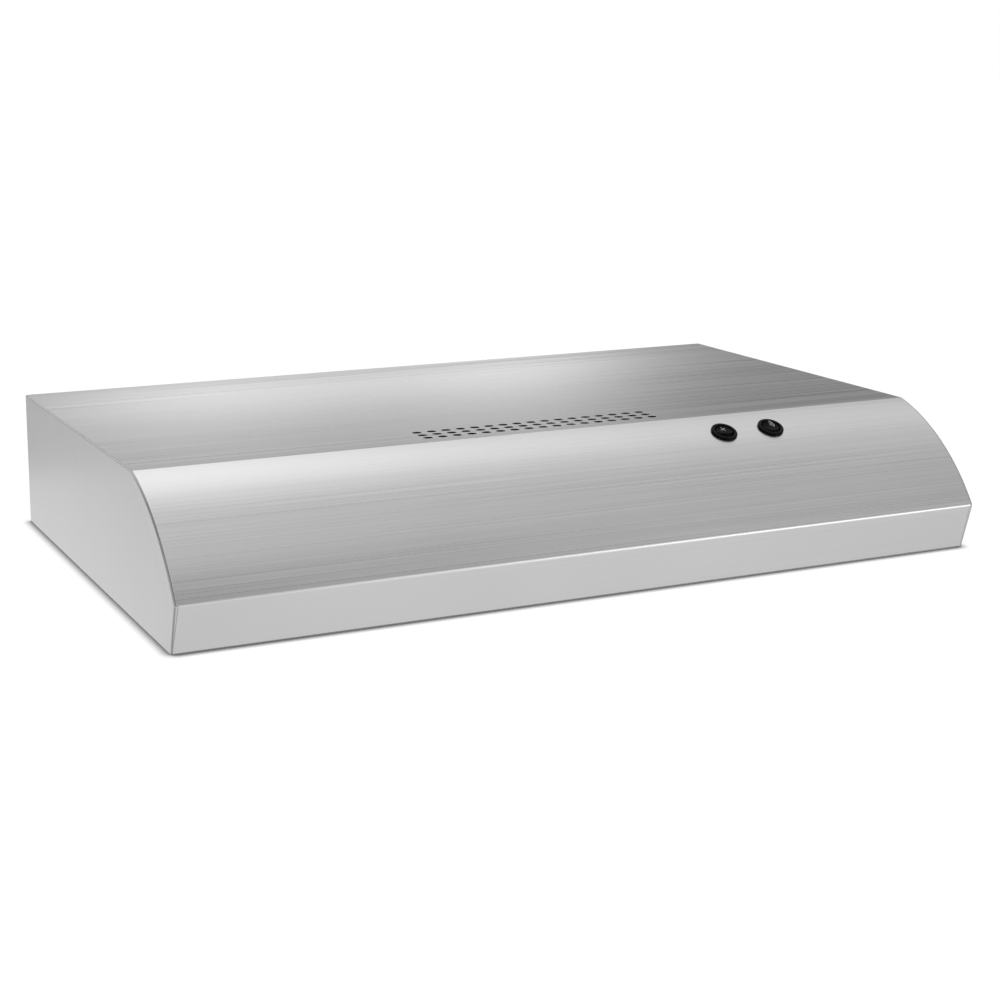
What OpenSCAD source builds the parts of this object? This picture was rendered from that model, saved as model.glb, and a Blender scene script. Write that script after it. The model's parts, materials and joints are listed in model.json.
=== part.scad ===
// Under cabinet range hood, 30 inch class: a sheet steel canopy with a curved visor, two mesh
// grease filters, a centrifugal blower that discharges through a back-draught damper in the rear
// wall, a lamp behind a hinged lens, and two round rocker switches.
//
// The origin is the middle of the wall face. +X is to the right as seen from the front, +Y points
// into the wall and +Z is up, so depths are measured forwards from the wall along -Y.

/* [Canopy] */
// Overall width
hood_w = 760; // [700:5:920]
// Depth from the wall to the front edge of the visor
hood_d = 482; // [470:1:500]
// Overall height
hood_h = 125; // [120:1:150]
// Depth of the flat top
top_d = 371; // [366:1:376]
// Radius of the curved visor
visor_r = 195; // [150:1:300]
// Height of the front lip below the visor
lip_h = 42.5; // [30:0.5:50]
// How far the bottom of the lip slopes back
lip_back = 13.5; // [5:0.5:25]
// Thickness of the canopy's steel sheet
steel_t = 0.9; // [0.7:0.1:1.2]
// Width of the flanges that turn in around the rim
hem_w = 14; // [10:1:16]

/* [Vent holes] */
// Number of holes in a row
vent_columns = 17; // [5:2:25]
// Number of rows
vent_rows = 3; // [1:1:4]
// Distance between holes along a row
vent_pitch_x = 14; // [11:0.5:16]
// Distance between rows
vent_pitch_d = 12; // [9:0.5:14]
// Length of a hole along its row
vent_w = 8; // [4:0.5:9]
// Width of a hole across its row
vent_h = 6; // [3:0.5:7]
// Distance of the middle row from the wall
vent_d = 340.5; // [330:0.5:345]

/* [Switches] */
// Distance of the fan switch from the middle of the hood
switch_x = 210; // [200:1:240]
// Distance between the two switches
switch_pitch = 50; // [35:1:60]
// Distance of the switches down the visor from the top crease, along the curve
switch_drop = 30; // [25:1:45]
// Radius of a switch bezel
bezel_r = 12.3; // [11.5:0.1:13]

/* [Filters] */
// Width of the opening for both filters
filter_bay_w = 690; // [650:5:690]
// Front edge of the filter opening, measured from the wall
filter_bay_d = 322; // [310:1:330]
// Thickness of a filter
filter_t = 7; // [6:0.5:8]

/* [Duct] */
// Width of the rear duct opening
duct_w = 254; // [240:1:260]
// Height of the rear duct opening
duct_h = 82.6; // [70:0.1:83]
// Distance of the damper's pivot from the wall
damper_d = 80; // [78:1:84]

/* [Blower] */
// Radius of the fan wheel
wheel_r = 70; // [60:1:72]
// Number of blades on the fan wheel
blade_count = 36; // [24:1:44]
// Distance of the fan's axis from the wall
wheel_d = 235; // [230:1:238]
// Smallest radius of the volute, at its tongue
volute_r0 = 78; // [76:1:82]
// Largest radius of the volute, at its outlet
volute_r1 = 135; // [125:1:136]

/* [Mounts] */
// Distance between the wall bolts along X, which is the spacing of wall studs
bolt_span_x = 406.4; // [400:0.1:410]
// Distance between the wall bolts along Z
bolt_span_z = 90; // [80:1:94]
// Radius of a wall bolt hole
bolt_r = 3.2; // [2.5:0.1:3.5]
// Distance between the duct screws along X
duct_screw_x = 274; // [270:1:280]
// Distance between the duct screws along Z
duct_screw_z = 60; // [50:1:70]
// Radius of a duct screw hole
duct_screw_r = 2.1; // [1.6:0.1:2.5]
// Radius of the hole for the power cable
knockout_r = 11.1; // [10.9:0.1:14]
// Place of the power cable hole, along X and Z
knockout_pos = [270, 30];

/* [Hidden] */
$fn = 48;
eps = 0.01;

// Canopy levels and bends
top_z = hood_h / 2;
rim_z = -hood_h / 2;
half_w = hood_w / 2;
crease_r = 3;
bend_r = 3;
rim_r = 1.6;
seam = 0.2;
side_in = half_w - steel_t;
under_top = top_z - steel_t;
top_edge = [top_d, top_z];
lip_edge = [hood_d, rim_z + lip_h];
chord = lip_edge - top_edge;
visor_c = (top_edge + lip_edge) / 2
    + sqrt(pow(visor_r, 2) - pow(norm(chord) / 2, 2)) * unit([chord[1], -chord[0]]);
lip_up = unit([lip_back, lip_h]);
lip_in = [-lip_up[1], lip_up[0]];
crease_c = [
    visor_c[0] + sqrt(pow(visor_r - crease_r, 2) - pow(top_z - crease_r - visor_c[1], 2)),
    top_z - crease_r
];
bend_start = lip_edge + bend_r * lip_in;
bend_along = (bend_start - visor_c) * lip_up;
bend_c = bend_start + lip_up * (-bend_along
    + sqrt(pow(bend_along, 2) - pow(norm(bend_start - visor_c), 2) + pow(visor_r - bend_r, 2)));
rim_start = lip_edge + rim_r * lip_in;
rim_c = rim_start + lip_up * (rim_z + rim_r - rim_start[1]) / lip_up[1];
crease_a = angle(crease_c - visor_c);
bend_a = angle(bend_c - visor_c);
lip_a = angle(-lip_in);
hem_front = hood_d - lip_back - hem_w;

// Underside
pan_t = 0.8;
pan_z = -54;
pan_top = pan_z + pan_t;
pan_x = half_w - hem_w - 1.2;
pan_d = [16, hem_front + 0.5];
bay_x = filter_bay_w / 2;
bay_d = [24, filter_bay_d];
divider_x = 6;
divider_gap = 1.5;
filter_x = [divider_x + divider_gap, bay_x - divider_gap];
filter_d = [31, filter_bay_d - 4];
filter_z = [pan_z - 1, pan_z - 1 + filter_t];
rail_c = [28, filter_z[0] + filter_t / 2];
roll_r = 2;
rail_r = 2.3;
frame_bar = 11;
frame_sheet = 1;

// Blower
volute_t = 1.6;
tongue_a = 50;
volute_z = [-38, duct_h / 2];
cover_z = [volute_z[1], volute_z[1] + 1.6];
outlet_d = 148;
duct_t = 1;
wheel_x = -(volute_r0 * cos(tongue_a) + volute_r1) / 2;
wheel_c = [wheel_x, -wheel_d];
outlet_x = [wheel_x + volute_r0 * cos(tongue_a), wheel_x + volute_r1];
wheel_z = [-31, 36];
hub_z = 0;
shaft_r = 4;
motor_r = 42;
motor_z = [6, 54];
motor_screw_at = [for (a = [30:120:270]) wheel_c + 50 * [cos(a), sin(a)]];
grommet_h = 4;
mount_z = cover_z[1] + grommet_h;
damper_z = duct_h / 2 - 4.3;
pin_r = 1.5;
gasket_t = 1.5;

// Lamp
lamp_x = 95.5;
lamp_d = [374, 446];
lens_z = [pan_z - 2.4, pan_z + 3.5];
lens_t = 1.5;
lens_pivot = [lamp_d[0] + 1.2, lens_z[0] + 1.2];
housing_x = lamp_x + 2;
housing_d = [lamp_d[0] - 1, lamp_d[1] + 1];
housing_top = 3;
bulb_c = [-2, -410, -24];

// Wiring
box_x = [225, 320];
box_d = [steel_t, 75];
box_z = [8, under_top];
box_t = 0.8;

// Switches
switch_a = 90 - crease_a + switch_drop / visor_r * 180 / PI;
barrel_r = 10.1;
well_r = 9;
rocker_r = 8.7;
rocker_pivot_z = -1.9;
light_rest_tilt = -8;

function unit(v) = v / norm(v);
function angle(v) = atan2(v[1], v[0]);
function reverse(list) = [for (i = [len(list) - 1:-1:0]) list[i]];
function arc(c, r, a0, a1, n, first = 0) =
    [for (i = [first:n]) let (a = a0 + (a1 - a0) * i / n) c + r * [cos(a), sin(a)]];

// The canopy's cross-section as [depth, z] points, from the wall over the top, the visor and the
// lip to the rim, at a distance inside the outer face
function canopy_line(inset) = concat(
    [[0, top_z - inset]],
    arc(crease_c, crease_r - inset, 90, crease_a, 4),
    arc(visor_c, visor_r - inset, crease_a, bend_a, 36, 1),
    arc(bend_c, bend_r - inset, bend_a, lip_a, 6, 1),
    arc(rim_c, rim_r - inset, lip_a, -90, 6));

// A box from pairs of limits along X, along the depth and along Z
module slab(x, d, z) translate([x[0], -d[1], z[0]]) cube([x[1] - x[0], d[1] - d[0], z[1] - z[0]]);

// Extrudes a [depth, z] outline between two places along X
module along_x(x) translate([x[1], 0, 0]) rotate([90, 0, -90]) linear_extrude(x[1] - x[0]) children();

// A cylinder along X, its centre given as [depth, z]
module rod_x(c, r, x) translate([x[0], -c[0], c[1]]) rotate([0, 90, 0]) cylinder(r = r, h = x[1] - x[0]);

// A cylinder along Z
module rod_z(p, r, z) translate([p[0], p[1], z[0]]) cylinder(r = r, h = z[1] - z[0]);

// A cylinder along Y through the rear wall, its centre given as [x, z]
module rod_y(c, r, d) translate([c[0], -d[0], c[1]]) rotate([90, 0, 0]) cylinder(r = r, h = d[1] - d[0]);

module mirrored() {
    children();
    mirror([1, 0, 0]) children();
}

// Places its children on the visor's outer face, with their +Z along the outward normal
module on_visor(x) translate([x, -visor_c[0], visor_c[1]]) rotate([switch_a, 0, 0])
    translate([0, 0, visor_r]) children();

// A pan head screw that points up, with the underside of its head at z = 0
module screw_up(shank_r, head_r, length) {
    cylinder(r = shank_r, h = length);
    translate([0, 0, -head_r * 0.45]) cylinder(r1 = head_r * 0.75, r2 = head_r, h = head_r * 0.45);
}

module screw_down(shank_r, head_r, length) mirror([0, 0, 1]) screw_up(shank_r, head_r, length);

// A round tube swept along points, as a polyhedron with one ring at each point
module tube(points, r, sides = 8) {
    n = len(points);
    ahead = [for (i = [0:n - 1]) unit(points[min(i + 1, n - 1)] - points[max(i - 1, 0)])];
    across = [for (t = ahead) unit(cross(t, abs(t[2]) > 0.9 ? [1, 0, 0] : [0, 0, 1]))];
    rings = [for (i = [0:n - 1]) for (k = [0:sides - 1])
        let (a = 360 * k / sides, u = across[i], v = cross(ahead[i], u))
        points[i] + r * (cos(a) * u + sin(a) * v)];
    walls = [for (i = [0:n - 2]) for (k = [0:sides - 1]) let (j = (k + 1) % sides)
        [i * sides + k, i * sides + j, (i + 1) * sides + j, (i + 1) * sides + k]];
    caps = [[for (k = [sides - 1:-1:0]) k], [for (k = [0:sides - 1]) (n - 1) * sides + k]];
    polyhedron(points = rings, faces = concat(walls, caps));
}

// A smooth curve through points that are chosen by hand
function smooth(p, steps = 3) = concat([for (i = [0:len(p) - 2]) for (k = [0:steps - 1])
    let (t = k / steps, a = p[max(i - 1, 0)], b = p[i], c = p[i + 1], d = p[min(i + 2, len(p) - 1)])
    0.5 * (2 * b + (c - a) * t + (2 * a - 5 * b + 4 * c - d) * t * t
        + (3 * b - a - 3 * c + d) * t * t * t)], [p[len(p) - 1]]);

// ---------------------------------------------------------------- canopy

module vent_cutters() {
    r = vent_h / 2;
    reach = (vent_w - vent_h) / 2;
    for (i = [0:vent_columns - 1], j = [0:vent_rows - 1])
        translate([(i - (vent_columns - 1) / 2) * vent_pitch_x,
            -vent_d - (j - (vent_rows - 1) / 2) * vent_pitch_d, under_top - 1])
            linear_extrude(steel_t + 2)
                polygon(concat(arc([reach, 0], r, -90, 90, 6), arc([-reach, 0], r, 90, 270, 6)));
}

module canopy_wrapper() {
    hem_end = [[hem_front, rim_z], [hem_front, rim_z + steel_t]];
    x = side_in - seam;
    color("silver") difference() {
        along_x([-x, x]) polygon(concat(canopy_line(0), hem_end, reverse(canopy_line(steel_t))));
        vent_cutters();
        for (sx = [switch_x - switch_pitch, switch_x])
            on_visor(sx) translate([0, 0, -3]) cylinder(r = barrel_r + 0.2, h = 6);
    }
}

// The right-hand end plate, with a flange that tucks under the wrapper and one around the rim
module side_panel() {
    gap = 0.05;
    flange_x = [side_in - hem_w, side_in];
    union() {
        along_x([side_in, half_w]) polygon(concat(canopy_line(0), [[0, rim_z]]));
        along_x(flange_x) intersection() {
            polygon(concat(canopy_line(steel_t + gap), reverse(canopy_line(2 * steel_t + gap))));
            translate([hem_w + 3, rim_z + 10]) square([hood_d, hood_h]);
        }
        slab(flange_x, [hem_w + 3, hem_front - 0.5], [rim_z, rim_z + steel_t]);
    }
}

module back_panel() {
    x = side_in - 0.1;
    color("lightgray") difference() {
        slab([-x, x], [0, steel_t], [rim_z, under_top]);
        slab([-duct_w / 2, duct_w / 2], [-1, 2], [-duct_h / 2, duct_h / 2]);
        for (sx = [-1, 1], sz = [-1, 1]) {
            rod_y([sx * bolt_span_x / 2, sz * bolt_span_z / 2], bolt_r, [-1, 2]);
            rod_y([sx * duct_screw_x / 2, sz * duct_screw_z / 2], duct_screw_r, [-1, 2]);
        }
        rod_y(knockout_pos, knockout_r, [-1, 2]);
        for (p = rivet_at) rod_y(p, 1.6, [-1, 2]);
    }
}

// The back panel's turned edges, relieved at the corners
module back_flanges() {
    x = side_in - 0.1;
    turn = [steel_t, hem_w];
    relief = 1.5;
    color("lightgray") {
        for (z = [rim_z, under_top - steel_t]) slab([-x + relief, x - relief], turn, [z, z + steel_t]);
        mirrored() slab([x - steel_t, x], turn, [rim_z + relief, under_top - relief]);
    }
}

module wall_doublers() {
    d = [steel_t, steel_t + 1.6];
    color("gray") for (sx = [-1, 1]) difference() {
        slab([sx * bolt_span_x / 2 - 15, sx * bolt_span_x / 2 + 15], d, [-57, 57]);
        for (sz = [-1, 1]) rod_y([sx * bolt_span_x / 2, sz * bolt_span_z / 2], bolt_r, [0, 4]);
    }
}

module vent_baffle() {
    x = vent_columns * vent_pitch_x / 2 + 8;
    d = [vent_d - 26, vent_d + 24];
    z = [under_top - 10, under_top];
    t = 0.6;
    color("lightgray") {
        slab([-x, x], d, [z[0], z[0] + t]);
        slab([-x, x], [d[1] - t, d[1]], z);
        mirrored() slab([x - t, x], d, z);
        mirrored() slab([x - t, x + 8], [d[0], d[1]], [z[1] - t, z[1]]);
    }
}

// ---------------------------------------------------------------- underside

pan_screw_at = [
    [357, 110], [357, 380], [357, 25], [250, 448]
];

module bottom_pan() {
    color("gainsboro") difference() {
        union() {
            slab([-pan_x, pan_x], pan_d, [pan_z, pan_top]);
            mirrored() slab([pan_x - pan_t, pan_x], pan_d, [rim_z + 1.5, pan_top]);
            slab([-pan_x, pan_x], [pan_d[0], pan_d[0] + pan_t], [rim_z + 1.5, pan_top]);
            slab([-pan_x, pan_x], [pan_d[1] - pan_t, pan_d[1]], [rim_z + 1.5, pan_top]);
        }
        slab([-bay_x, bay_x], bay_d, [pan_z - 1, pan_top + 1]);
        slab([-lamp_x - 1.5, lamp_x + 1.5], housing_d, [pan_z - 1, pan_top + 1]);
        for (p = pan_screw_at, sx = [-1, 1]) rod_z([sx * p[0], -p[1]], 2, [pan_z - 1, pan_top + 1]);
    }
}

module pan_brackets() {
    t = 0.8;
    z = [pan_top, pan_top + t];
    hem_top = rim_z + steel_t;
    color("darkgray") mirrored() difference() {
        union() {
            for (d = [pan_screw_at[0][1], pan_screw_at[1][1]]) {
                slab([350, side_in], [d - 12, d + 12], z);
                slab([side_in - t, side_in], [d - 12, d + 12], [z[0], z[0] + 24]);
            }
            slab([349.5, 363], [hem_w - 0.5, 32], z);
            slab([349.5, 363], [hem_w - 0.5, hem_w + 0.3], [hem_top, z[1]]);
            slab([349.5, 363], [4, hem_w + 0.3], [hem_top, hem_top + t]);
            slab([238, 262], [438, hem_front + 2], z);
            slab([238, 262], [hem_front + 1.2, hem_front + 2], [hem_top, z[1]]);
            slab([238, 262], [hem_front + 1.2, hem_front + 10], [hem_top, hem_top + t]);
        }
        for (p = pan_screw_at) rod_z([p[0], -p[1]], 1.9, [z[0] - 1, z[1] + 1]);
    }
}

module pan_screws() {
    color("silver") for (p = pan_screw_at, sx = [-1, 1])
        translate([sx * p[0], -p[1], pan_z]) screw_up(1.9, 3.8, 6);
}

module rear_filter_rail() {
    x = [divider_x + 2, bay_x - 2];
    outer = rail_r + 0.8;
    color("gainsboro") mirrored() union() {
        slab(x, [17, rail_c[0] - rail_r - 0.3], [pan_top, pan_top + 0.8]);
        along_x(x) translate(rail_c) difference() {
            circle(outer);
            circle(rail_r);
            polygon([[0, 0], 8 * [cos(-70), sin(-70)], [8, -8], [8, 8], 8 * [cos(60), sin(60)]]);
        }
    }
}

module filter_divider() {
    color("gainsboro") {
        slab([-divider_x, divider_x], [17, bay_d[1] + 6], [pan_top, pan_top + 0.8]);
        slab([-0.4, 0.4], [32, bay_d[1] - 4], [pan_top + 0.8, pan_top + 7]);
    }
}

// Leaf springs that hold the front edge of each filter
module filter_catches() {
    x_mid = (filter_x[0] + filter_x[1]) / 2;
    t = 0.5;
    front = bay_d[1];
    color("silver") mirrored() for (x = [x_mid - 100, x_mid + 100]) union() {
        slab([x - 8, x + 8], [front - 2, front + 10], [pan_top, pan_top + t]);
        slab([x - 8, x + 8], [front - 2, front - 2 + t], [pan_z - 2, pan_top + t]);
        rod_x([front - 2.7, pan_z - 2.4], 1, [x - 8, x + 8]);
    }
}

// ---------------------------------------------------------------- grease filters

// The right-hand filter's rim: four channel bars, and the rolled tongue that hooks in the rail
module filter_frame() {
    x = filter_x;
    d = filter_d;
    z = filter_z;
    b = frame_bar;
    s = frame_sheet;
    union() {
        difference() {
            slab(x, d, z);
            slab([x[0] + b, x[1] - b], [d[0] + b, d[1] - b], [z[0] - 1, z[1] + 1]);
            slab([x[0] + s, x[1] - s], [d[0] + s, d[1] - s], [z[0] + s, z[1] - s]);
        }
        slab([x[0] + 20, x[1] - 20], [rail_c[0] + 1, d[0] + 0.5], [rail_c[1] - 0.5, rail_c[1] + 0.5]);
        rod_x(rail_c, roll_r, [x[0] + 20, x[1] - 20]);
    }
}

// The pad of expanded mesh, clamped between the lips of the rim
module filter_mesh() {
    c = frame_sheet + 0.5;
    mid = (filter_z[0] + filter_z[1]) / 2;
    slab([filter_x[0] + c, filter_x[1] - c], [filter_d[0] + c, filter_d[1] - c], [mid - 0.5, mid + 0.5]);
}

// A riveted finger pull at the front edge
module filter_pull() {
    x = (filter_x[0] + filter_x[1]) / 2;
    d = filter_d[1] - 6;
    z = filter_z[0];
    union() {
        slab([x - 20, x + 20], [d - 4.5, d + 5], [z - 0.8, z]);
        slab([x - 20, x + 20], [d + 4.2, d + 5], [z - 5, z]);
        rod_x([d + 3.8, z - 5], 1.2, [x - 20, x + 20]);
        for (sx = [-12, 12]) rod_z([x + sx, 0.5 - d], 1.8, [z - 1.5, z]);
    }
}

// ---------------------------------------------------------------- blower

// The volute seen from above: a spiral that opens into a straight outlet towards the wall
module volute_area(grow) {
    turn = 360 - tongue_a;
    spiral = [for (i = [0:40]) let (
        a = tongue_a + turn * i / 40,
        r = volute_r0 + (volute_r1 - volute_r0) * i / 40 + grow)
        wheel_c + r * [cos(a), sin(a)]];
    polygon(concat(spiral, [[outlet_x[1] + grow, -outlet_d], [outlet_x[0] - grow, -outlet_d]]));
}

module blower_volute() {
    floor_z = volute_z[0];
    color("dimgray") difference() {
        union() {
            translate([0, 0, floor_z]) linear_extrude(volute_t) volute_area(volute_t);
            translate([0, 0, floor_z]) linear_extrude(volute_z[1] - floor_z) difference() {
                volute_area(volute_t);
                volute_area(0);
            }
        }
        rod_z(wheel_c, wheel_r - 4, [floor_z - 1, floor_z + volute_t + 1]);
    }
}

module blower_cover() {
    color("lightgray") difference() {
        translate([0, 0, cover_z[0]]) linear_extrude(cover_z[1] - cover_z[0]) volute_area(volute_t + 2);
        rod_z(wheel_c, motor_r + 2, [cover_z[0] - 1, cover_z[1] + 1]);
        for (p = motor_screw_at) rod_z(p, 2.1, [cover_z[0] - 1, cover_z[1] + 1]);
        for (p = cover_screw_at) rod_z(p, 1.9, [cover_z[0] - 1, cover_z[1] + 1]);
    }
}

// The bell mouth around the fan's inlet
module inlet_ring() {
    lip = wheel_r - 12;
    z = volute_z[0];
    color("dimgray") translate([wheel_c[0], wheel_c[1], 0]) rotate_extrude() polygon(concat(
        [[wheel_r + 2, z], [wheel_r + 2, z - 1.4], [lip + 8, z - 1.4]],
        arc([lip + 8, z + 5], 6.4, -90, -180, 6, 1),
        [[lip + 1.6, z + 6], [lip + 3, z + 6]],
        arc([lip + 8, z + 5], 5, -180, -90, 6)));
}

bracket_x = [outlet_x[0] - 147, outlet_x[1] - 26];
bracket_d = [230, 262];
cover_screw_at = [for (x = bracket_x, d = [238, 254]) [x + 7, -d]];

module blower_brackets() {
    t = 1.2;
    color("silver") for (x = bracket_x) difference() {
        union() {
            slab([x, x + 16], bracket_d, [cover_z[1], cover_z[1] + t]);
            slab([x + 15, x + 16.2], bracket_d, [cover_z[1], under_top]);
            slab([x + 15, x + 32], bracket_d, [under_top - t, under_top]);
        }
        for (d = [238, 254]) rod_z([x + 7, -d], 1.9, [cover_z[1] - 1, cover_z[1] + t + 1]);
    }
}

module blower_screws() {
    color("silver") for (p = cover_screw_at)
        translate([p[0], p[1], cover_z[1] + 1.2]) screw_down(1.9, 3.6, 4);
}

module blade(a) {
    r0 = wheel_r - 11;
    steps = 4;
    half_t = 0.5;
    sweep = 9;
    edge = function (side) [for (k = [0:steps]) let (
        r = r0 + 10.5 * k / steps,
        b = a + sweep * pow(k / steps, 2) + side * half_t / r * 180 / PI)
        r * [cos(b), sin(b)]];
    polygon(concat(edge(-1), reverse(edge(1))));
}

// The squirrel cage wheel: blades between two rings, on a disc with a hub
module fan_wheel() {
    ring = [wheel_r - 11, wheel_r];
    color("dimgray") translate([wheel_c[0], wheel_c[1], 0]) difference() {
        union() {
            translate([0, 0, wheel_z[0]]) linear_extrude(wheel_z[1] - wheel_z[0])
                for (i = [0:blade_count - 1]) blade(360 * i / blade_count);
            for (z = [wheel_z[0], wheel_z[1] - 2]) translate([0, 0, z]) linear_extrude(2) difference() {
                circle(ring[1]);
                circle(ring[0]);
            }
            translate([0, 0, hub_z - 2]) cylinder(r = ring[0] + 2, h = 2);
            translate([0, 0, hub_z - 14]) cylinder(r = 10, h = 14);
        }
        translate([0, 0, hub_z - 20]) cylinder(r = shaft_r, h = 30);
        for (a = [0:60:300]) rotate(a) translate([34, 0, hub_z - 3]) cylinder(r = 8, h = 4);
    }
}

module wheel_nut() {
    color("silver") difference() {
        rod_z_hex(wheel_c, 7, [hub_z - 20, hub_z - 14]);
        rod_z(wheel_c, shaft_r, [hub_z - 21, hub_z - 13]);
    }
}

module rod_z_hex(p, r, z) translate([p[0], p[1], z[0]]) cylinder(r = r, h = z[1] - z[0], $fn = 6);

module motor_shaft() {
    color("silver") rod_z(wheel_c, shaft_r, [hub_z - 23, motor_z[1] + 3]);
}

module motor_can() {
    bore = shaft_r + 0.06;
    color("darkgray") difference() {
        union() {
            rod_z(wheel_c, motor_r, motor_z);
            rod_z(wheel_c, 11, [motor_z[0] - 3, motor_z[1] + 4]);
        }
        rod_z(wheel_c, bore, [motor_z[0] - 4, motor_z[1] + 5]);
        for (a = [0:30:330]) translate([wheel_c[0], wheel_c[1], motor_z[0] + 10]) rotate(a)
            translate([motor_r - 3, -3, 0]) cube([6, 6, 22]);
    }
}

module motor_mount() {
    t = 1.6;
    color("silver") translate([0, 0, mount_z]) difference() {
        union() {
            rod_z(wheel_c, motor_r + 3, [0, t]);
            for (p = motor_screw_at) rod_z(p, 8, [0, t]);
        }
        rod_z(wheel_c, motor_r, [-1, t + 1]);
        for (p = motor_screw_at) rod_z(p, 2.1, [-1, t + 1]);
    }
}

module motor_grommets() {
    color("black") for (p = motor_screw_at) difference() {
        rod_z(p, 5.5, [cover_z[1], mount_z]);
        rod_z(p, 2.1, [cover_z[1] - 1, mount_z + 1]);
    }
}

module motor_screws() {
    color("silver") for (p = motor_screw_at)
        translate([p[0], p[1], mount_z + 1.6]) screw_down(2, 4, 9);
}

capacitor_x = [120, 158];
capacitor_d = [190, 210];

module run_capacitor() {
    z = [under_top - 32, under_top - 1.2];
    color("whitesmoke") slab(capacitor_x, capacitor_d, z);
    color("silver") for (x = [capacitor_x[0] + 9, capacitor_x[1] - 9], d = [197, 203])
        slab([x - 3, x + 3], [d - 0.4, d + 0.4], [z[0] - 8, z[0]]);
}

module capacitor_clip() {
    t = 0.8;
    z = [under_top - 26, under_top];
    color("silver") {
        slab([capacitor_x[0] - 14, capacitor_x[1] + t], capacitor_d, [under_top - t, under_top]);
        slab([capacitor_x[0] - t, capacitor_x[0]], capacitor_d, z);
        slab([capacitor_x[1], capacitor_x[1] + t], capacitor_d, z);
    }
}

// ---------------------------------------------------------------- outlet and damper

// The outlet seen from above: the blower's throat, widening to the duct opening
module outlet_area(grow) {
    shoulder = 84;
    half = duct_w / 2 + grow;
    rear = steel_t + gasket_t;
    polygon([
        [outlet_x[0] - grow, -outlet_d], [outlet_x[1] + grow, -outlet_d],
        [half, -shoulder], [half, -rear], [-half, -rear], [-half, -shoulder]
    ]);
}

module outlet_duct() {
    z = duct_h / 2;
    rear = steel_t + gasket_t;
    flange = 16;
    color("lightgray") difference() {
        union() {
            translate([0, 0, z]) linear_extrude(duct_t) outlet_area(duct_t);
            translate([0, 0, -z - duct_t]) linear_extrude(duct_t) outlet_area(duct_t);
            translate([0, 0, -z]) linear_extrude(2 * z) difference() {
                outlet_area(duct_t);
                outlet_area(0);
                translate([outlet_x[0], -outlet_d - 1]) square([outlet_x[1] - outlet_x[0], 8]);
                translate([-duct_w / 2, -rear - 2]) square([duct_w, 4]);
            }
            difference() {
                slab([-duct_w / 2 - flange, duct_w / 2 + flange], [rear, rear + duct_t],
                    [-z - 12, z + 12]);
                slab([-duct_w / 2, duct_w / 2], [0, 9], [-z, z]);
            }
            slab(outlet_x + 0.5 * [-1, 1], [outlet_d - duct_t, outlet_d], [-z, volute_z[0]]);
            slab([-duct_w / 2, duct_w / 2], [damper_d + 0.7, damper_d + 1.7], [-z, -z + 4]);
        }
        rod_x([damper_d, damper_z], pin_r + 0.05, [-duct_w / 2 - 3, duct_w / 2 + 3]);
        for (sx = [-1, 1], sz = [-1, 1])
            rod_y([sx * duct_screw_x / 2, sz * duct_screw_z / 2], duct_screw_r, [0, 9]);
        for (p = rivet_at) rod_y(p, 1.6, [0, 9]);
    }
}

rivet_at = [for (sx = [-1, 1], x = [45, 100], sz = [-1, 1]) [sx * x, sz * (duct_h / 2 + 6)]];

module duct_gasket() {
    z = duct_h / 2;
    color("dimgray") difference() {
        slab([-duct_w / 2 - 14, duct_w / 2 + 14], [steel_t, steel_t + gasket_t], [-z - 10, z + 10]);
        slab([-duct_w / 2, duct_w / 2], [0, 9], [-z, z]);
        for (sx = [-1, 1], sz = [-1, 1])
            rod_y([sx * duct_screw_x / 2, sz * duct_screw_z / 2], duct_screw_r, [0, 9]);
        for (p = rivet_at) rod_y(p, 1.6, [0, 9]);
    }
}

// Blind rivets through the outlet's flange, the gasket and the back panel, with their heads inside
module duct_rivets() {
    front = steel_t + gasket_t + duct_t;
    color("silver") for (p = rivet_at) {
        rod_y(p, 1.6, [0, front]);
        rod_y(p, 3.2, [front, front + 1.2]);
    }
}

module damper_flap() {
    x = duct_w / 2 - 2;
    color("lightgray") union() {
        slab([-x, x], [damper_d - 0.4, damper_d + 0.4], [-duct_h / 2 + 1.8, damper_z - 2]);
        difference() {
            rod_x([damper_d, damper_z], pin_r + 1.4, [-x, x]);
            rod_x([damper_d, damper_z], pin_r + 0.06, [-x - 1, x + 1]);
        }
    }
}

module damper_pin() {
    x = duct_w / 2 + duct_t + 1.5;
    color("silver") rod_x([damper_d, damper_z], pin_r, [-x, x]);
}

// ---------------------------------------------------------------- wiring box

module wiring_box() {
    t = box_t;
    color("lightgray") difference() {
        union() {
            slab(box_x, [box_d[1] - t, box_d[1]], box_z);
            for (x = [box_x[0], box_x[1] - t]) {
                slab([x, x + t], [hem_w + 1, box_d[1]], box_z);
                slab([x, x + t], box_d, [box_z[0], box_z[1] - 1.2]);
            }
            slab([box_x[0], box_x[1]], [box_d[1] - 10, box_d[1]], [box_z[0], box_z[0] + t]);
            slab([box_x[0], box_x[1]], [hem_w + 1, box_d[1]], [box_z[1] - t, box_z[1]]);
        }
        rod_y([300, 50], 7, [box_d[1] - 3, box_d[1] + 3]);
        rod_x([30, 30], 2, [box_x[1] - 2, box_x[1] + 2]);
        rod_z([(box_x[0] + box_x[1]) / 2, -box_d[1] + 5], 1.9, [box_z[0] - 1, box_z[0] + 2]);
    }
}

module wiring_cover() {
    x_mid = (box_x[0] + box_x[1]) / 2;
    color("gainsboro") difference() {
        union() {
            slab([box_x[0] - 1, box_x[1] + 1], [box_d[0] + 1, box_d[1] + 1], [box_z[0] - box_t, box_z[0]]);
            slab([box_x[0] - 1, box_x[1] + 1], [box_d[1] + 0.2, box_d[1] + 1], [box_z[0], box_z[0] + 8]);
        }
        rod_z([x_mid, -box_d[1] + 5], 2, [box_z[0] - 2, box_z[0] + 1]);
    }
}

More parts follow.
